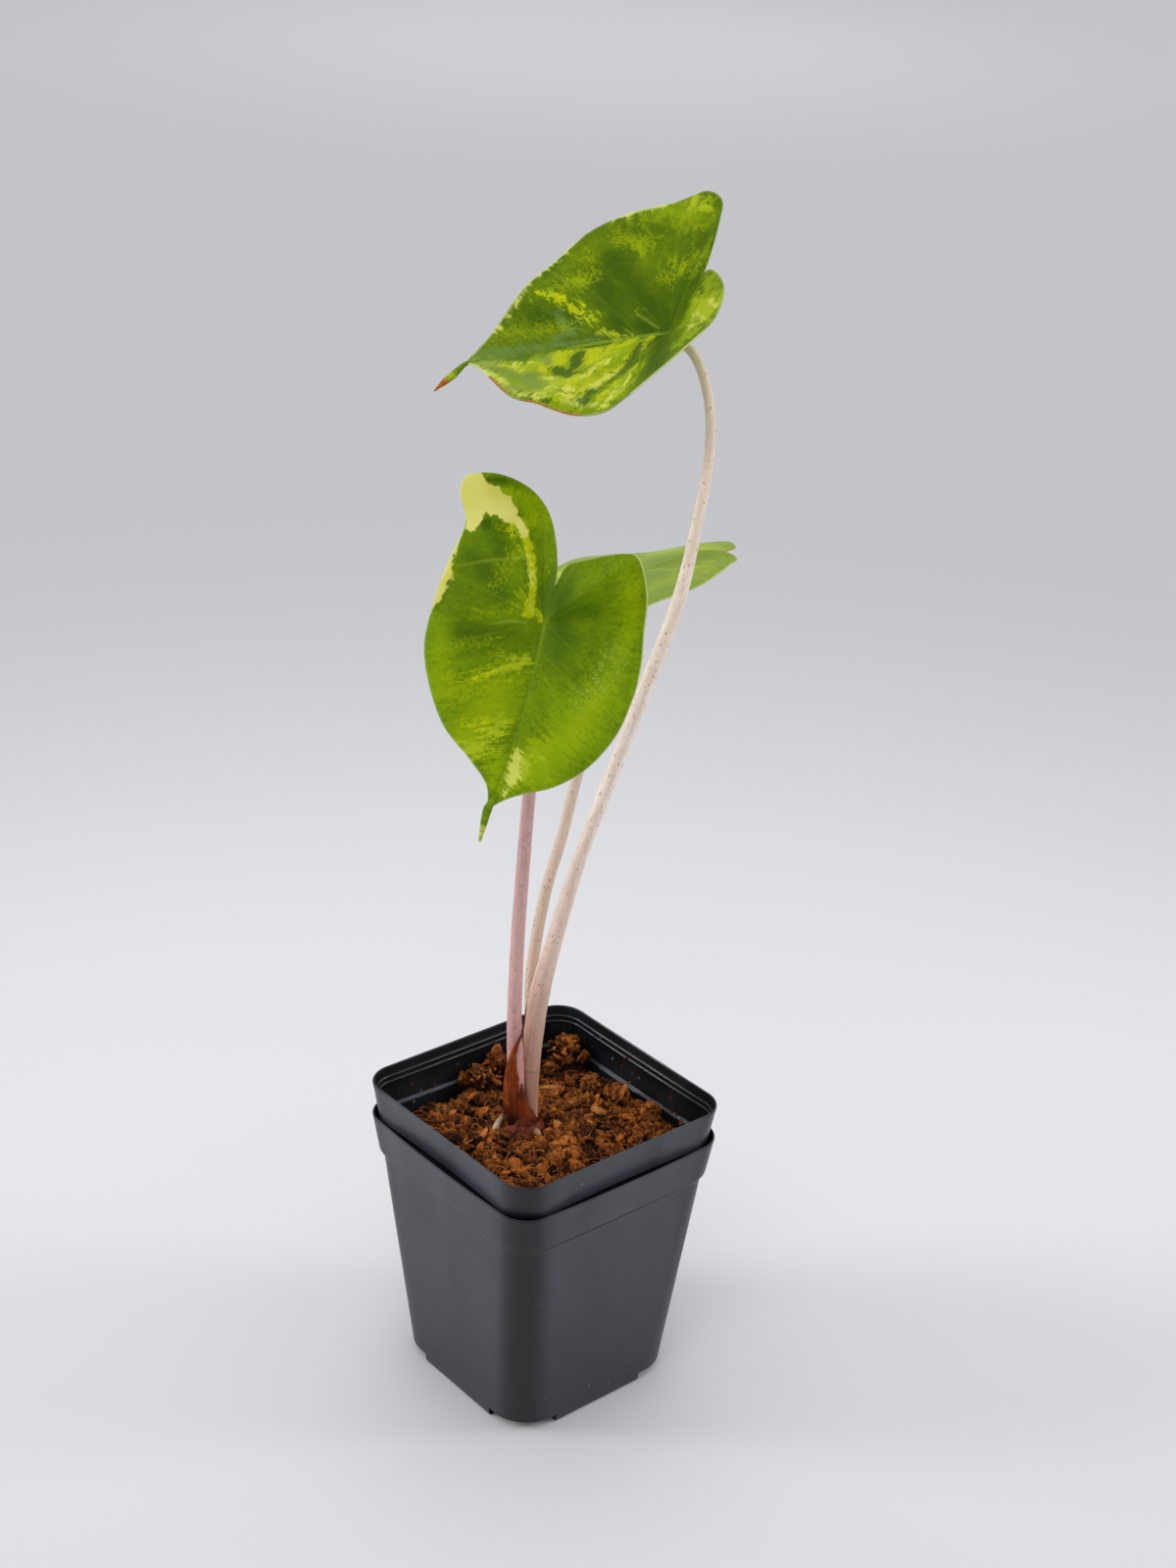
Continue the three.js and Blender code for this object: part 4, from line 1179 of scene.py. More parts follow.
# Dried sheaths. Rows are height, middle x, half-width, y and the curl at the edges.
SHEATH_HALF_THICK = 0.3
SHEATH_ROWS = 90
SHEATH_COLUMNS = 16
CREASE_SHARE = 0.112
SHEATH_LEFT = [
    [97, -10.4, 3.8, -3.6, 3.0], [100, -10.5, 3.4, -4.0, 2.6], [104, -10.8, 3.0, -4.3, 2.1],
    [111, -11.2, 2.7, -4.9, 1.7], [116, -11.1, 2.6, -5.3, 1.5], [121, -11.3, 1.9, -5.8, 0.9],
    [127, -10.8, 1.1, -6.1, 0.3], [132, -9.4, 0.7, -7.2, 0.1], [136, -8, 0.5, -7.5, 0],
    [141, -7.2, 0.3, -6.9, 0], [147, -6.6, 0.15, -5.8, 0],
]
SHEATH_RIGHT = [
    [97, -6.0, 4.1, -3.2, 1.8], [99, -6.3, 3.6, -3.4, 1.3], [101.5, -6.7, 3.0, -3.6, 0.9],
    [105, -7.2, 2.1, -3.7, 0.5], [110, -7.5, 1.1, -3.7, 0.1], [114.4, -7.5, 0.2, -3.6, 0],
]


def sheath(name, rows, material):
    rows = np.asarray(rows, float)
    heights = np.linspace(rows[0, 0], rows[-1, 0], SHEATH_ROWS)
    middle, half, depth, curl = (np.interp(heights, rows[:, 0], rows[:, k]) for k in range(1, 5))
    width = SHEATH_COLUMNS + 1
    shares = np.linspace(-1, 1, width)
    points, skin, length = [], [], []
    for k, z in enumerate(heights):
        folds = [noise.noise(Vector((s * 3.0, z * 0.12, 2.0))) for s in shares]
        crease = CREASE_SHARE * half[k] * np.array(folds)
        frill = 1 + 0.06 * noise.noise(Vector((z * 0.3, 4.0, 0.0)))
        for way, face in ((1, -1), (-1, 1)):
            x = middle[k] + half[k] * frill * shares[::way]
            taper = 1 - 0.6 * shares[::way] ** 4
            y = depth[k] + curl[k] * shares[::way] ** 2 + crease[::way] + face * SHEATH_HALF_THICK * taper
            points.append(np.stack([x, y, np.full(width, z)], 1))
            skin.append(np.stack([half[k] * shares[::way], np.full(width, face), np.full(width, z)], 1))
            length.append(np.full(width, k / (SHEATH_ROWS - 1)))
    points = turned(np.concatenate(points))
    faces = tube_faces(SHEATH_ROWS, 2 * width)
    fields = {"skin": np.concatenate(skin), "length": np.concatenate(length)}
    add_piece(name, points, faces, material, [name], 60, fields)


dried = sheath_material()
sheath("cataphyll_left", SHEATH_LEFT, dried)
sheath("cataphyll_right", SHEATH_RIGHT, dried)


# Blades. Each side's margin runs from the notch over the stalk to the tip, from the stalk's top as zero.
UPPER_TOP = (29.4, -4.9, 375.2)
UPPER_FAR = [
    [4.5, 4, 7], [9, 10, 14], [14, 24, 29], [14.5, 31, 33.5], [10.5, 35, 35], [2, 38, 31],
    [-13.5, 40, 26], [-25.5, 38.5, 20], [-35, 34.5, 12], [-44, 26.5, 5.5], [-53, 12.5, -5.5],
    [-60, 0.3, -11.5],
]
UPPER_NEAR = [
    [4.5, 4, 7], [7.5, -3, 15], [10, -8, 21], [13.5, -22, 21.5], [14, -27, 19.5], [11.5, -36, 14],
    [5, -41, 8], [-6.5, -44.5, -2], [-12, -44.5, -7], [-18.5, -42.5, -12.5], [-27, -39.5, -14.5],
    [-38, -34, -13], [-44.5, -28, -13.5], [-52.5, -13.5, -11.5], [-56, -6, -11], [-60, 0.3, -11.5],
]
UPPER_TAIL = [
    [-56, 0, -10.7, 0.8, 1.1], [-59.6, -0.2, -11.5, 0.6, 0.8], [-61.4, -1.4, -12.8, 0.9, 0.7],
    [-63.4, -3.4, -14.4, 1.25, 0.8], [-65.4, -5.4, -15.7, 1.1, 0.7], [-67, -7, -16.8, 0.6, 0.5],
    [-68.4, -8.4, -17.9, 0.2, 0.2],
]
FRONT_TOP = (-3.7, -46.9, 299)
FRONT_LEFT = [
    [2.5, 4, 9.5], [3, 8.5, 15.5], [0, 20, 26.5], [-5.5, 25, 32], [-14, 27, 35.5], [-21, 27, 36],
    [-25.5, 25, 35], [-26.5, 22, 31], [-24.5, 17, 24.5], [-29, 8.5, 14.5], [-32.5, -1, 5], [-34.5, -9, -5],
    [-32.5, -16, -14.5], [-27.5, -23, -24.5], [-19.5, -28, -32.5], [-14.5, -32, -38.5], [-14, -36, -44],
]
FRONT_RIGHT = [
    [2.5, 4, 9.5], [6, 6.5, 15.5], [9, 5.5, 17], [17, 3, 20], [23, -1, 22.5], [26, -4, 23],
    [28, -6, 19.5], [29.5, -8, 11], [29, -10, 2], [28.5, -15, -7], [26, -21, -15.5], [21.5, -26.5, -24.5],
    [13.5, -31.5, -32.5], [4.5, -33.5, -37.5], [-4, -33.5, -40], [-9, -34.5, -41.5], [-14, -36, -44],
]
FRONT_TAIL = [
    [-12, -33.5, -41, 0.8, 0.8], [-13.9, -36, -44, 1.3, 0.8], [-14.8, -38, -47.5, 1.0, 0.6],
    [-15.8, -40, -52.5, 0.35, 0.35],
]
BACK_TOP = (24.6, 39.1, 284.7)
BACK_FAR = [
    [7.5, 0, 3.5], [15, 4, 5], [30.5, 12, 4.5], [32, 15, 4.5], [30.5, 18, 5], [26.5, 21, 4], [15, 24.5, 0.5],
    [4.5, 26, -2.5], [-10.5, 27, -4.5], [-22.5, 26, -6.5], [-33, 22, -12], [-44, 15, -17.5], [-55, 2, -26],
]
BACK_NEAR = [
    [7.5, 0, 3.5], [13.5, -3, 7.5], [26, -9, 11.5], [31, -13.5, 10.5], [29, -16, 9.5], [19, -22.5, 4],
    [9.5, -24.5, 0.5], [3, -25, -2.5], [-12.5, -25, -13.5], [-28, -20, -22.5], [-43, -10, -26], [-55, 2, -26],
]
BACK_TAIL = [
    [-52, 2.5, -24.5, 0.8, 0.8], [-55, 2, -26, 0.8, 0.8], [-58, 0.5, -28.5, 0.6, 0.6],
    [-61, -1.5, -33, 0.35, 0.35],
]

# Rise of a blade's face halfway out: over its sides, and over its midrib.
UPPER_BULGE = ((-0.3, -0.3, 1.6), (0, 0, -0.3))
FRONT_BULGE = ((-0.3, -1.2, 1.0), (1.3, 0, -1.8))
BACK_BULGE = ((0, -0.2, 1.6), (0, 0, 1.0))

# Painted regions, as strokes on the flattened leaf in millimetres: along the midrib from the stalk
# towards the tip, across it (first side positive), the same for the stroke's end, and both half-widths.
UPPER_PAINT = {
    "painted_light": [
        (-20, -30, -10, -14, 4, 4), (14, -8, 44, -16, 6, 8), (-14, 40, -4, 46, 3, 3),
        (14, -30, 24, -38, 4, 4),
    ],
    "dark": [
        (2, -3, 2, -40, 4, 4), (3, 6, 14, 32, 3.5, 3), (0, 2, 8, 4, 4, 4), (14, 6, 20, 26, 4, 4),
        (28, 14, 38, 16, 4, 4), (-8, -4, -16, -4, 2.5, 2), (30, 3, 14, 3, 2, 2), (-2, 6, -8, 14, 2, 1),
    ],
    "fleck": [
        (-14, 22, -2, 18, 5, 5), (-14, 34, -8, 42, 5, 4), (4, 34, 12, 40, 6, 5), (22, 28, 34, 26, 6, 5),
        (30, 10, 48, 12, 5, 5), (-20, -30, -14, -12, 5, 5), (14, -14, 40, -20, 8, 9),
        (4, 4, 9, 11, 1.5, 2), (46, -10, 52, -6, 5, 4), (20, 34, 26, 38, 4, 4), (-4, 40, 6, 46, 3, 3),
        (40, 10, 50, 6, 3, 3),
    ],
    "lime": [
        (-20, -28, -12, -12, 6, 5), (-22, -14, -9, -32, 4, 4), (13, -4, 20, -16, 4, 5),
        (20, -22, 32, -34, 6, 7), (30, -8, 44, -14, 6, 7), (36, -26, 46, -22, 4, 4),
        (50, -8, 57, -2, 3, 3), (-15, 42, -13, 44, 1, 1), (-8, 19, -4, 22, 0.6, 0.6),
        (5, 31, 8, 35, 0.6, 0.6), (24, 26, 27, 29, 0.5, 0.5), (12, -24, 20, -38, 3, 3),
        (9, -22, 13, -39, 2.4, 2.6), (22, 11, 28, 17, 1.2, 1.0), (31, 20, 38, 25, 1, 0.8),
    ],
    "glow": [
        (16, -8, 22, -12, 2, 3), (24, -26, 38, -24, 5, 6), (32, -5, 36, -10, 2.5, 3),
        (-14, -12, -18, -28, 2.5, 4), (44, -12, 56, -3, 3, 3), (-17, 40, -13, 45, 1.6, 1.6),
        (12, 1.6, 20, 5, 0.2, 0.4), (58, 0, 62.5, 0, 0.6, 0.2), (38, -30, 44, -24, 2.5, 2),
        (13, -33, 20, -41, 1.6, 2), (10, -20, 12, -32, 0.5, 0.8),
    ],
    "yellow": [
        (5, -1, 8, -6, 1.0, 1.1), (8, -6, 11, -13, 1.1, 1.2), (11, -13, 14, -19, 1.2, 1.3),
        (14, -19, 24, -28, 1.6, 1.4), (10, -1.5, 19, -6, 1.3, 1.8), (19, -8, 20, -15, 1.2, 1.0),
        (20, -18, 30, -27, 1.0, 1.2), (28, -20, 36, -20, 0.6, 1.2), (38, -12, 46, -6, 0.8, 0.8),
        (23, -14, 22.5, -5, 2.0, 2.4), (31, -4, 33, -10, 2.2, 2.8), (34, -10, 37, -14, 2.8, 1.8),
        (26, -30, 33, -34, 1.2, 1.2), (15, -27, 21, -34, 0.9, 1.2), (22.5, 11, 25, 13.5, 0.5, 1.2),
        (25, 13.5, 28.5, 17, 1.2, 0.8), (30.5, 20, 34, 24, 0.5, 0.9), (34, 24, 38, 25.5, 0.6, 0.2),
    ],
    "haze": [
        (13, -19, 19, -25, 0.5, 0.8), (22, -38, 30, -35, 0.9, 1.2), (26, -31, 36, -27, 0.6, 0.9),
        (19, -14, 26, -24, 0.3, 0.5), (30, -22, 38, -19, 0.3, 0.8), (46, -24, 54, -10, 0.8, 0.8),
        (40, -9, 50, -4, 0.3, 0.6), (25, -35, 33, -31, 0.4, 0.6), (16, -12, 19, -17, 0.2, 0.3),
        (39, -32, 45, -26, 0.8, 0.7), (36, -32, 39, -29, 0.5, 0.5), (18, -24, 26, -31, 0.4, 0.6),
        (43, -15, 46, -9, 0.4, 0.6), (8, -9, 12, -17, 0.2, 0.3), (-12, -16, -15, -30, 0.3, 0.8),
        (11, -25, 14, -38, 0.3, 0.7), (16, -30, 19, -40, 0.3, 0.8), (-19, -22, -21, -30, 0.6, 0.8),
        (-10, -18, -11, -28, 0.2, 0.5), (50, -8, 56, -3, 0.8, 0.8), (17, -21, 24, -31, 0.4, 0.9),
        (22, -27, 29, -36, 0.4, 0.8), (27, 43, 38, 34, 0.8, 0.8), (38, 34, 52, 13, 0.3, 0.3),
        (-4, 48.5, 12, 48.5, 0.5, 0.5),
    ],
    "island": [
        (8.5, -5, 11, -17, 0.9, 1.3), (11, -17, 15, -23, 1.4, 0.9), (15, -23, 21, -30, 0.6, 0.3),
        (23.5, -31, 25.5, -36, 1.6, 1.4), (28.5, -14, 27, -6, 1.9, 1.5), (30, -20, 33, -15, 2.4, 2.2),
        (19, -1, 24, -1.5, 1.0, 1.0), (36, -34, 36.5, -34.5, 0.9, 0.9), (26, -21, 29, -19, 0.8, 0.8),
    ],
    "painted_sheen": [
        (39, -24, 42, -17, 3.2, 3.0), (43, -25, 47, -22, 1.6, 1.4), (36, -10, 37, -5, 1.3, 1.3),
        (44, -18, 52, -8, 1.6, 1.6), (20, 2.4, 34, 2.5, 0.8, 1.4), (34, 2.5, 56, 1.5, 1.6, 4.0),
        (52, -6, 57, -2, 2.0, 1.6), (28, 7, 33, 6, 1.4, 1.4), (31, 13, 33, 17, 1.0, 1.0),
        (24, -33, 30, -36, 0.6, 0.6),
    ],
}
FRONT_PAINT = {
    "painted_light": [
        (0, -26, 20, -24, 2, 4), (20, -22, 44, -10, 5, 6), (40, -6, 50, 0, 4, 3), (26, 8, 42, 12, 5, 5),
        (12, 28, 30, 24, 2, 4), (-16, -24, -6, -26, 2, 2), (-34, 18, -30, 10, 1, 1),
    ],
    "dark": [
        (-7, -4, 3, -6, 4.5, 4.5), (-4, -6, -6, -14, 4, 3), (4, -5, 9, -7, 3, 1), (6, 8, 11, 22, 1, 2),
        (-12, 24, -4, 14, 3, 3), (-24, 22, -16, 18, 2.5, 2.5), (-14, 2, -8, 1.5, 1, 1),
    ],
    "fleck": [
        (10, 12, 16, 24, 3, 3), (20, 4, 30, 22, 5, 5), (-34, 2, -24, 20, 4, 4), (-36, 8, -34, 24, 5, 4),
        (-28, 4, -14, 3, 3, 2.5), (-16, 14, -6, 16, 4, 4), (-16, -26, -4, -27, 4, 4),
        (16, 8, 40, 10, 6, 8), (36, -8, 48, -6, 5, 4), (30, 20, 22, 24, 4, 4), (0, 8, 4, 20, 3, 3),
        (20, -22, 34, -18, 5, 5), (-24, 18, -20, 14, 3, 3),
    ],
    "lime": [
        (36, -9, 49, -5, 3.5, 3), (13, 3, 22, 13, 1.6, 1.6), (32, 5, 40, 12, 3, 3),
        (44, 2, 50, 1, 2.5, 1.2), (-27, 15, -18, 11, 1.8, 1.4), (-35, 22, -37, 29, 1.2, 1.2),
        (-2, 9, -8, 8, 0.8, 0.8), (25, 16, 30, 20, 0.8, 0.8), (22, 14, 26, 20, 0.8, 0.8),
    ],
    "glow": [
        (36, 4, 44, 10, 1.2, 1.5), (40, -7, 50, -5, 1.6, 1.4), (12.5, 2.5, 20, 11, 0.5, 0.8),
        (32, 4.4, 38, 7.6, 0.5, 0.5), (33, 3, 40, 8, 0.4, 0.6),
    ],
    "yellow": [(19, 11, 22, 14.5, 0.3, 0.4), (33.5, 8, 36, 13, 0.3, 0.3), (-25, 17, -20, 13, 0.4, 0.4)],
    "band": [
        (-27, 15, -20, 10.4, 1.4, 1.2), (-20, 10.4, -12, 6.9, 1.2, 1.0), (-12, 6.9, -6, 5.8, 1.0, 1.2),
        (-6, 5.8, -0.8, 5.0, 1.2, 1.7), (-3, 3.2, 0, 1.2, 0.5, 0.4),
    ],
    "haze": [
        (-18, 9.4, -9, 6.2, 0.2, 0.2), (39, -2.6, 46, -3.8, 0.7, 2.5), (46, -3.8, 53, -3.4, 2.5, 0.6),
        (63, 0, 66, 0, 0.2, 1.4),
    ],
    "cream": [
        (-33, 31, -30.3, 22.5, 4.6, 4.0), (-30.3, 22.5, -27, 16, 3.8, 1.7),
        (-27, 16, -23.5, 12.4, 1.7, 0.7), (-30, 29.6, -22.8, 28.7, 4.4, 2.7),
        (-22, 31.5, -16, 32.4, 1.2, 1.2), (-16, 32.4, -6, 32.8, 1.2, 2.4), (-6, 32.8, 3, 33.2, 3.3, 2.6),
        (3, 33.2, 10, 33.8, 2.2, 0.3), (-37, 34, -31, 32.5, 3.2, 4),
    ],
    "island": [(-37.8, 24, -36.5, 29.5, 1.0, 1.0), (-24, 24.5, -22.6, 23.6, 0.8, 0.8)],
}
BACK_PAINT = {
    "painted_light": [(-24, 12, -8, 18, 3, 3), (20, 12, 40, 6, 5, 5)],
    "dark": [
        (2, -8, 16, -18, 5, 5), (22, -6, 34, -10, 4, 4), (48, 4, 54, 2, 2, 2), (-18, 3, -6, 6, 2, 2),
    ],
    "fleck": [(-24, 12, -6, 18, 6, 6), (-20, -12, -4, -18, 5, 5), (10, 6, 40, 6, 12, 8)],
    "lime": [
        (-24, 12, -6, 18, 4, 4), (-22, -14, -4, -18, 4, 3), (4, 10, 20, 16, 5, 5), (34, 0, 46, 4, 5, 4),
    ],
    "glow": [(-22, 12, -8, 18, 2, 2), (6, 8, 18, 16, 3, 3)],
    "yellow": [
        (20, 8, 30, 18, 1.4, 1.6), (36, -2, 40, 6, 1.6, 1.6), (24, -10, 34, -18, 1.2, 1.4),
        (6, 12, 12, 22, 0.8, 1.0), (44, -4, 50, -2, 1.2, 0.8),
    ],
    "haze": [(22, 19, 28, 19, 0.8, 0.8), (-22, -16, -12, -18, 0.5, 0.5)],
    "cream": [(38, 14, 46, 8, 1.0, 0.8)],
    "island": [(26, 12, 28, 14, 0.8, 0.8)],
    "painted_sheen": [(-20, -16, -6, -20, 1.6, 1.6), (2, 1, 30, 1, 0.8, 0.8)],
}

# Margin strokes, browned or pale, the pale ones a painted highlight along the edge: strokes that mark the
# stretch, and how far in from the edge they reach.
UPPER_BURN = ([(63.6, 0, 66, 0, 1.0, 4), (28, -41, 37, -36, 2, 2), (38, -35.5, 53, -16, 2.0, 2.0)], 0.55)
FRONT_BURN = ([(50, -13, 56, -6, 1, 1)], 0.15)
BACK_BURN = ([(-30, 12, -26, 8, 2, 2)], 1.0)
UPPER_PALE = ([
    (26, 44, 40, 33, 3, 3), (-6, 49, 10, 49, 2, 2), (40, 33, 58, 3, 1, 1), (53, -12, 59, -3, 2, 2),
    (-16, -40, 8, -46, 2, 2),
], 0.9)
FRONT_PALE = ([(-24, -22, -16, -31, 2.5, 3), (-16, -31, 10, -31, 3, 2), (-20, 31, -6, 33, 2, 2)], 0.5)
BACK_PALE = ([(-30, -16, 0, -26, 3, 3)], 0.5)

# Veins that stand out, and dusty specks.
UPPER_LINES = [(3, 0.6, 30, 0.5, 0.3, 0.2), (5, -0.8, 12, -4, 0.2, 0.15), (3, 2.5, 9, 9, 0.2, 0.1)]
FRONT_LINES = [
    (2, 5, 3.2, 9.5, 0.22, 0.18), (3.2, 9.5, 5.5, 14, 0.18, 0.1), (-17, 10, -12.5, 21, 0.2, 0.2),
    (-12.5, 21, -8, 30, 0.2, 0.1), (-1, 4, -8, 6.4, 0.4, 0.3),
]
BACK_LINES = [(0, 0, -10, -8, 0.5, 0.45), (-10, -8, -20, -12, 0.45, 0.4), (-20, -12, -32, -15, 0.4, 0.3)]
UPPER_DUST = [(24, 12, 30, 10, 1, 1)]
FRONT_DUST = [(8, -24, 14, -22, 2.5, 3), (14, -22, 22, -18, 2.6, 1.6)]

SIDE_COLUMNS = 110
# Shares of the way out to the margin at which a blade has a ring of points, closer near both ends.
RING_SHARES = (0.02, 0.045, 0.07, *np.linspace(0.1, 0.94, 44), 0.955, 0.968, 0.98, 0.99, 1.0)
HALF_THICK = 0.26
OUTSIDE_ALL_STROKES = -12.0


def stroke_field(along_leaf, across_leaf, strokes):
    """How far inside the nearest stroke a point lies, in millimetres, below zero outside."""
    best = np.full(len(along_leaf), OUTSIDE_ALL_STROKES)
    for a0, b0, a1, b1, r0, r1 in strokes:
        da, db = a1 - a0, b1 - b0
        share = ((along_leaf - a0) * da + (across_leaf - b0) * db) / (da * da + db * db)
        share = np.clip(share, 0, 1)
        off = np.hypot(along_leaf - a0 - share * da, across_leaf - b0 - share * db)
        best = np.maximum(best, r0 + (r1 - r0) * share - off)
    return best


def opened_angles(edge):
    """Angle of each margin point from the midrib, on the blade opened out flat."""
    unit = edge / np.linalg.norm(edge, axis=1)[:, None]
    steps = np.arccos(np.clip((unit[1:] * unit[:-1]).sum(1), -1, 1))
    return np.concatenate([np.cumsum(steps[::-1])[::-1], [0]])


VEIN_SLANT = 0.62
VEIN_FAN = 22.0
VEIN_SPACING = 8.2
VEIN_HALF = 0.3


def flow_across(along_leaf, across_leaf):
    """A coordinate across the side veins, which slant to the tip and fan round the stalk behind it."""
    straight = along_leaf - VEIN_SLANT * np.abs(across_leaf)
    turn = np.arctan2(np.abs(across_leaf), along_leaf) - math.atan2(1, VEIN_SLANT)
    return np.where(straight > 0, straight, -VEIN_FAN * turn)


def blade_surface(sides, bulge):
    """A blade's middle surface as rings from the stalk's top out to the margin, with its faces.

    Each point also has its place along and across the leaf opened out flat, and its distance to the margin.
    """
    shares = 1 - (1 - np.linspace(0, 1, SIDE_COLUMNS + 1)) ** 1.5
    first, second = (spread(spline(side, 30), shares) for side in sides)
    first_angle, second_angle = opened_angles(first), opened_angles(second)
    margin = np.concatenate([first[:-1], second[:0:-1]])
    angle = np.concatenate([first_angle[:-1], -second_angle[:0:-1]])
    down_side = np.concatenate([shares[:-1], shares[:0:-1]])
    to_side = np.sin(math.pi * np.minimum(1, down_side * 1.15))
    to_midrib = np.maximum(0, 1 - (1 - down_side) / 0.3) ** 2
    radius = np.linalg.norm(margin, axis=1)
    points, along, across, edge = [np.zeros((1, 3))], [[0.0]], [[0.0]], [[30.0]]
    for share in RING_SHARES:
        rise = 4 * share * (1 - share)
        over_side = np.outer(rise * to_side, bulge[0])
        over_midrib = np.outer(rise * to_midrib, bulge[1])
        points.append(margin * share + over_side + over_midrib)
        along.append(radius * share * np.cos(angle))
        across.append(radius * share * np.sin(angle))
        edge.append(radius * (1 - share))
    count = len(margin)
    faces = [(0, 1 + i, 1 + (i + 1) % count) for i in range(count)]
    for ring in range(len(RING_SHARES) - 1):
        for i in range(count):
            p, q = 1 + ring * count + i, 1 + ring * count + (i + 1) % count
            faces.append((p, p + count, q + count, q))
    return (*(np.concatenate(column) for column in (points, along, across, edge)), faces)


def point_normals(points, faces):
    normals = np.zeros_like(points)
    for face in faces:
        normal = np.cross(points[face[1]] - points[face[0]], points[face[2]] - points[face[0]])
        for i in face:
            normals[i] += normal
    return normals / (np.linalg.norm(normals, axis=1)[:, None] + 1e-12)


# Relief of a blade in millimetres: quilting, sunk midrib and ripples, then the underside's keel and veins.
QUILT_RISE = 0.05
RIB_SINK = 0.25
RIPPLE_RISE = 0.4
KEEL_DROP = 0.75
VEIN_DROP = 0.2
# The tail's painted place along the midrib, from its root on.
TAIL_ROOT = 57
TAIL_REACH = 8
# Moves the underside's noise away from the upper face's.
UNDERSIDE_SHIFT = 40


def blade(name, sides, bulge, tail, top, paint, burn, pale, dust, lines, seed, pallor, low, high):
    points, along, across, edge, faces = blade_surface(sides, bulge)
    normals = point_normals(points, faces)
    out = np.hypot(along, across)
    rib_width = 0.6 * np.clip(1 - along / 75, 0.3, 1)
    rib = np.where(along > 0, np.exp(-((across / rib_width) ** 2)), np.exp(-((out / 1.2) ** 2)))
    vein_place = flow_across(along, across) / VEIN_SPACING
    off_vein = np.abs(vein_place - np.round(vein_place)) * VEIN_SPACING
    vein = np.exp(-((off_vein / VEIN_HALF) ** 2)) * np.clip((np.abs(across) - 0.5) / 2, 0, 1)
    vein = vein * np.clip(edge / 4, 0, 1)
    quilt = np.cos(2 * math.pi * vein_place) * np.clip(np.abs(across) / 8, 0, 1) * np.clip(edge / 6, 0, 1)
    ripple = np.array([noise.noise(Vector((x * 0.09, y * 0.09, seed))) for x, y in zip(along, across)])
    lift = -QUILT_RISE * quilt - RIB_SINK * rib + RIPPLE_RISE * ripple * np.clip(edge / 8, 0, 1)
    thin = HALF_THICK * np.clip(0.35 + edge / 1.2, 0.35, 1)
    keel = rib * np.clip(1.1 - along / 60, 0.25, 1.1) * (along > -2)
    upper_face = points + normals * (lift + thin)[:, None]
    lower_face = points + normals * (lift - thin - KEEL_DROP * keel - VEIN_DROP * vein)[:, None]

    total = len(points)
    count = 2 * SIDE_COLUMNS
    shell = faces + [tuple(i + total for i in reversed(face)) for face in faces]
    for i in range(count):
        p, q = total - count + i, total - count + (i + 1) % count
        shell.append((p, p + total, q + total, q))
    tail_points, tail_faces, _, tail_share = tube(tail, TAIL_STEPS, THIN_AROUND)
    shell += [tuple(i + 2 * total for i in face) for face in tail_faces]
    all_points = np.concatenate([upper_face, lower_face, tail_points]) + np.asarray(top, float)

    def over_all(upper, lower, on_tail):
        """A field over the upper face, the lower face and the tail."""
        return np.concatenate([upper, lower, np.broadcast_to(on_tail, len(tail_points))])

    along_all = over_all(along, along, TAIL_ROOT + TAIL_REACH * tail_share)
    across_all = over_all(across, across, 0.0)
    out_all = np.hypot(along_all, across_all)
    side = over_all(0 * along, 0 * along + UNDERSIDE_SHIFT, 0.0)
    burn_edge = over_all(edge, edge, 1.1 - 2.2 * tail_share)
    pale_share = np.clip(0.5 + stroke_field(along_all, across_all, pale[0]), 0.25, 0.9)
    fields = {
        "leaf": np.stack([along_all, across_all, side], 1),
        "flow": np.stack([flow_across(along_all, across_all), out_all, np.sign(across_all) * 30], 1),
        "under": over_all(0 * along, 0 * along + 1, 0.0),
        "rib": over_all(rib, rib * 0.8, 0.25),
        "vein": over_all(vein, vein, 0.0),
        "burn": np.minimum(stroke_field(along_all, across_all, burn[0]), burn[1] - burn_edge),
        "dust": np.clip(1 + stroke_field(along_all, across_all, dust) / 3, 0, 1),
        "line": stroke_field(along_all, across_all, lines),
        "ragged": np.clip(out_all / 16, 0.3, 1),
        "rim": pale_share * np.clip(1 - over_all(edge, edge, 30.0) / pale[1], 0, 1),
    }
    for field in PAINT_LAYERS:
        fields[field] = stroke_field(along_all, across_all, paint.get(field, ()))
    material = leaf_material(name + "_skin", seed, pallor, low, high)
    add_piece(name, turned(all_points), shell, material, [name], 60, fields)


# The upper blade's base greens are darker than the other two's, a painted shade over the whole blade.
blade("blade_upper", (UPPER_FAR, UPPER_NEAR), UPPER_BULGE, UPPER_TAIL, UPPER_TOP,
      UPPER_PAINT, UPPER_BURN, UPPER_PALE, UPPER_DUST, UPPER_LINES, 2.0, 0.0,
      srgb(72, 96, 0), srgb(92, 114, 0))
blade("blade_front", (FRONT_LEFT, FRONT_RIGHT), FRONT_BULGE, FRONT_TAIL, FRONT_TOP,
      FRONT_PAINT, FRONT_BURN, FRONT_PALE, FRONT_DUST, FRONT_LINES, 7.0, 0.0,
      srgb(86, 112, 0), srgb(102, 130, 0))
blade("blade_back", (BACK_FAR, BACK_NEAR), BACK_BULGE, BACK_TAIL, BACK_TOP,
      BACK_PAINT, BACK_BURN, BACK_PALE, UPPER_DUST, BACK_LINES, 13.0, 0.4,
      srgb(88, 112, 0), srgb(104, 130, 0))


# Stage: a pale floor and soft studio light.

FLOOR_HALF = 8.0


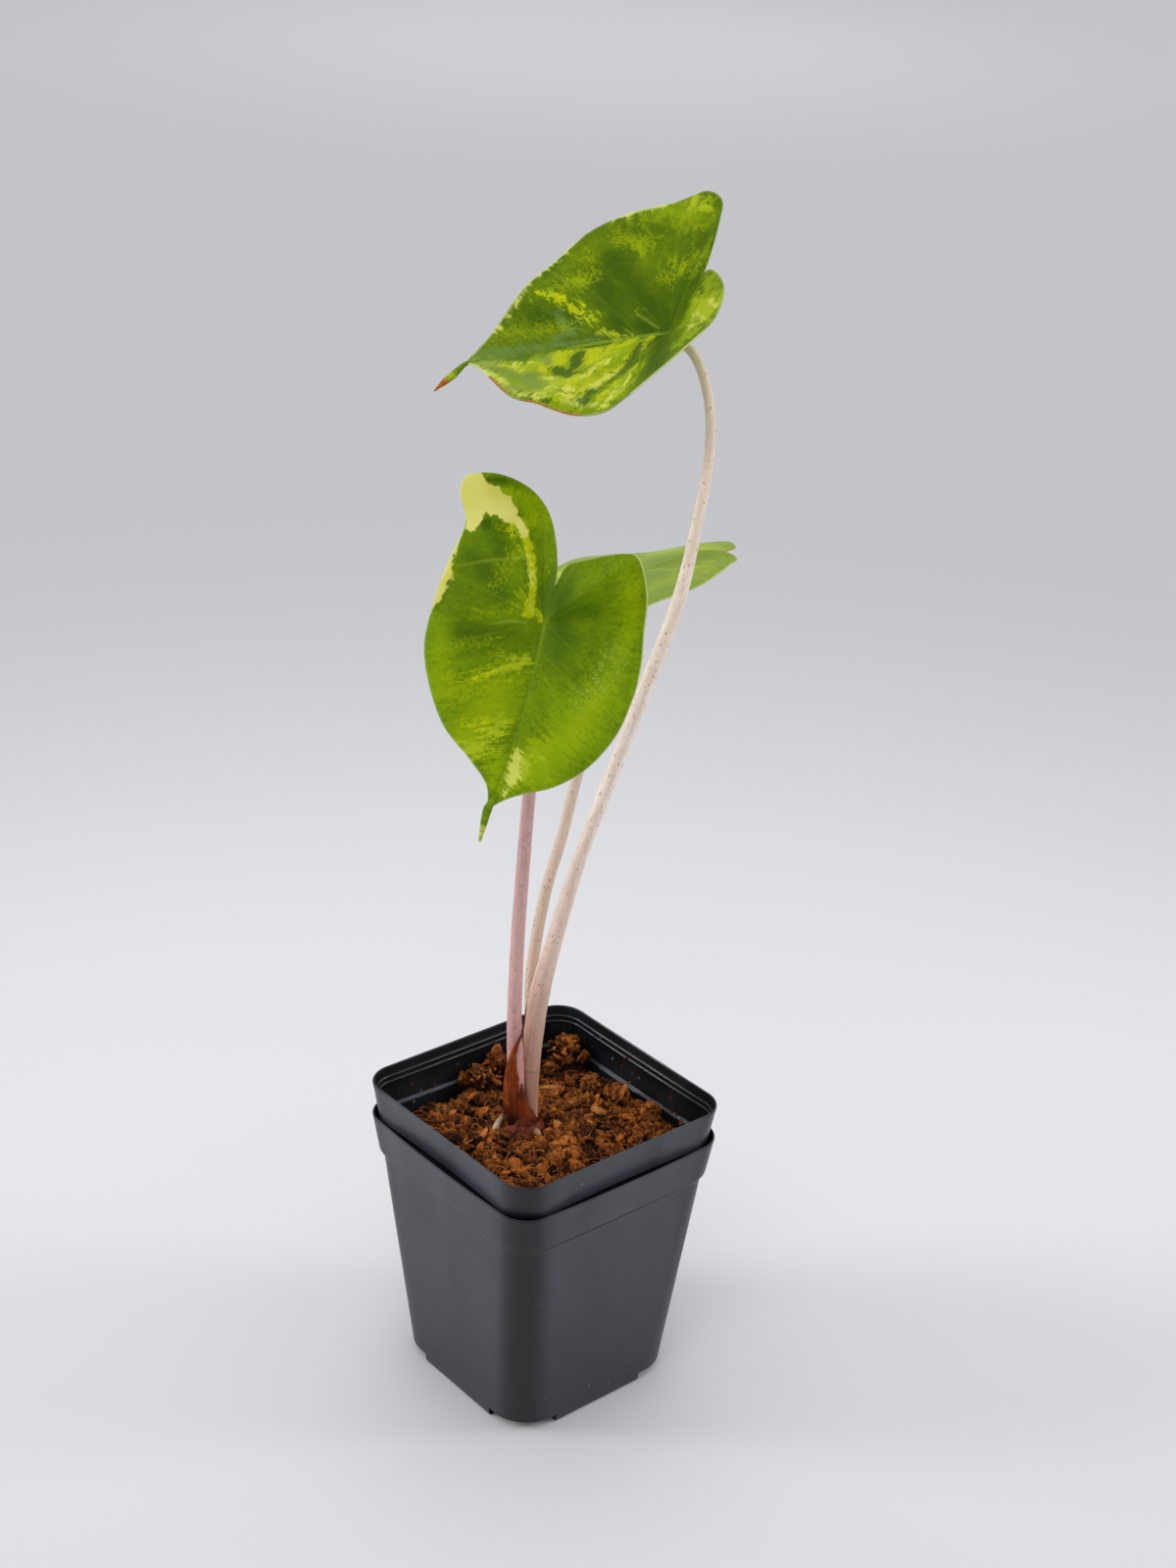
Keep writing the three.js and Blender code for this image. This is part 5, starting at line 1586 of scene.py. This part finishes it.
def add_floor():
    corners = [(x * FLOOR_HALF, y * FLOOR_HALF, 0) for x, y in ((-1, -1), (1, -1), (1, 1), (-1, 1))]
    mesh = bpy.data.meshes.new("floor")
    mesh.from_pydata(corners, [], [(0, 1, 2, 3)])
    shader = Shader("pale_floor")
    tint = shader.noise(shader.place(), 0.6, 2)
    shader.set(Base_Color=shader.mix(tint, srgb(204, 204, 206), srgb(208, 208, 210)), Roughness=0.7)
    mesh.materials.append(shader.material)
    floor = bpy.data.objects.new("floor", mesh)
    bpy.context.scene.collection.objects.link(floor)


def studio_point(right, up, toward):
    """A point in metres from the middle of the pot's foot: to the camera's right, up, and towards it."""
    level_right = Vector((camera_right.x, camera_right.y, 0)).normalized()
    level_back = -Vector((camera_forward.x, camera_forward.y, 0)).normalized()
    return tuple(level_right * right + level_back * toward + Vector((0, 0, up)))


def add_lamp(name, kind, place, aim, watts):
    data = bpy.data.lights.new(name, kind)
    data.energy = watts
    lamp = bpy.data.objects.new(name, data)
    lamp.location = place
    lamp.rotation_euler = (Vector(aim) - Vector(place)).to_track_quat("-Z", "Y").to_euler()
    bpy.context.scene.collection.objects.link(lamp)
    return data


def add_spot(name, place, aim, watts, cone, softness):
    """A soft round pool of light, which fades out to its edge."""
    data = add_lamp(name, "SPOT", place, aim, watts)
    data.spot_size = math.radians(cone)
    data.spot_blend = 1.0
    data.shadow_soft_size = softness


def add_panel(name, place, aim, watts, size, tint):
    data = add_lamp(name, "AREA", place, aim, watts)
    data.shape = "RECTANGLE"
    data.size, data.size_y = size
    data.color = tint


# The sky's strength at the horizon and high up, and the sine of the angle from which it is the second.
SKY_AT_HORIZON = 0.56
SKY_ABOVE = 0.875
SKY_LEVELS_AT = 0.45


def add_sky():
    """A pale sky that darkens down to the floor's tone, so that no horizon shows from the side."""
    world = bpy.data.worlds.new("studio")
    world.use_nodes = True
    nodes, links = world.node_tree.nodes, world.node_tree.links
    background = nodes["Background"]
    background.inputs["Color"].default_value = (0.97, 0.98, 1, 1)
    height = nodes.new("ShaderNodeSeparateXYZ")
    links.new(nodes.new("ShaderNodeTexCoord").outputs["Generated"], height.inputs[0])
    rise = nodes.new("ShaderNodeMapRange")
    rise.interpolation_type = "SMOOTHSTEP"
    rise.inputs["From Max"].default_value = SKY_LEVELS_AT
    rise.inputs["To Min"].default_value = SKY_AT_HORIZON
    rise.inputs["To Max"].default_value = SKY_ABOVE
    links.new(height.outputs["Z"], rise.inputs["Value"])
    links.new(rise.outputs["Result"], background.inputs["Strength"])
    bpy.context.scene.world = world


def add_stage():
    add_floor()
    behind_pot = studio_point(0, 0.14, -0.13)
    add_spot("left_lamp", studio_point(-1.3, 0.72, -0.05), behind_pot, 66, 30, 0.35)
    add_spot("right_lamp", studio_point(1.3, 0.72, -0.15), behind_pot, 50, 27, 0.35)
    add_spot("floor_pool", studio_point(0, 2.0, -0.2), studio_point(0, 0, -0.19), 70, 22, 0.5)
    add_spot("far_pool", studio_point(0, 2.5, -3.2), studio_point(0, 0, -3.2), 38, 46, 0.5)
    add_panel("front_panel", studio_point(-0.3, 1.5, 1.0), (0, 0, 0.3), 4, (0.9, 0.7), (1, 1, 0.98))
    add_sky()
    bpy.context.scene.view_settings.view_transform = "Standard"


add_stage()

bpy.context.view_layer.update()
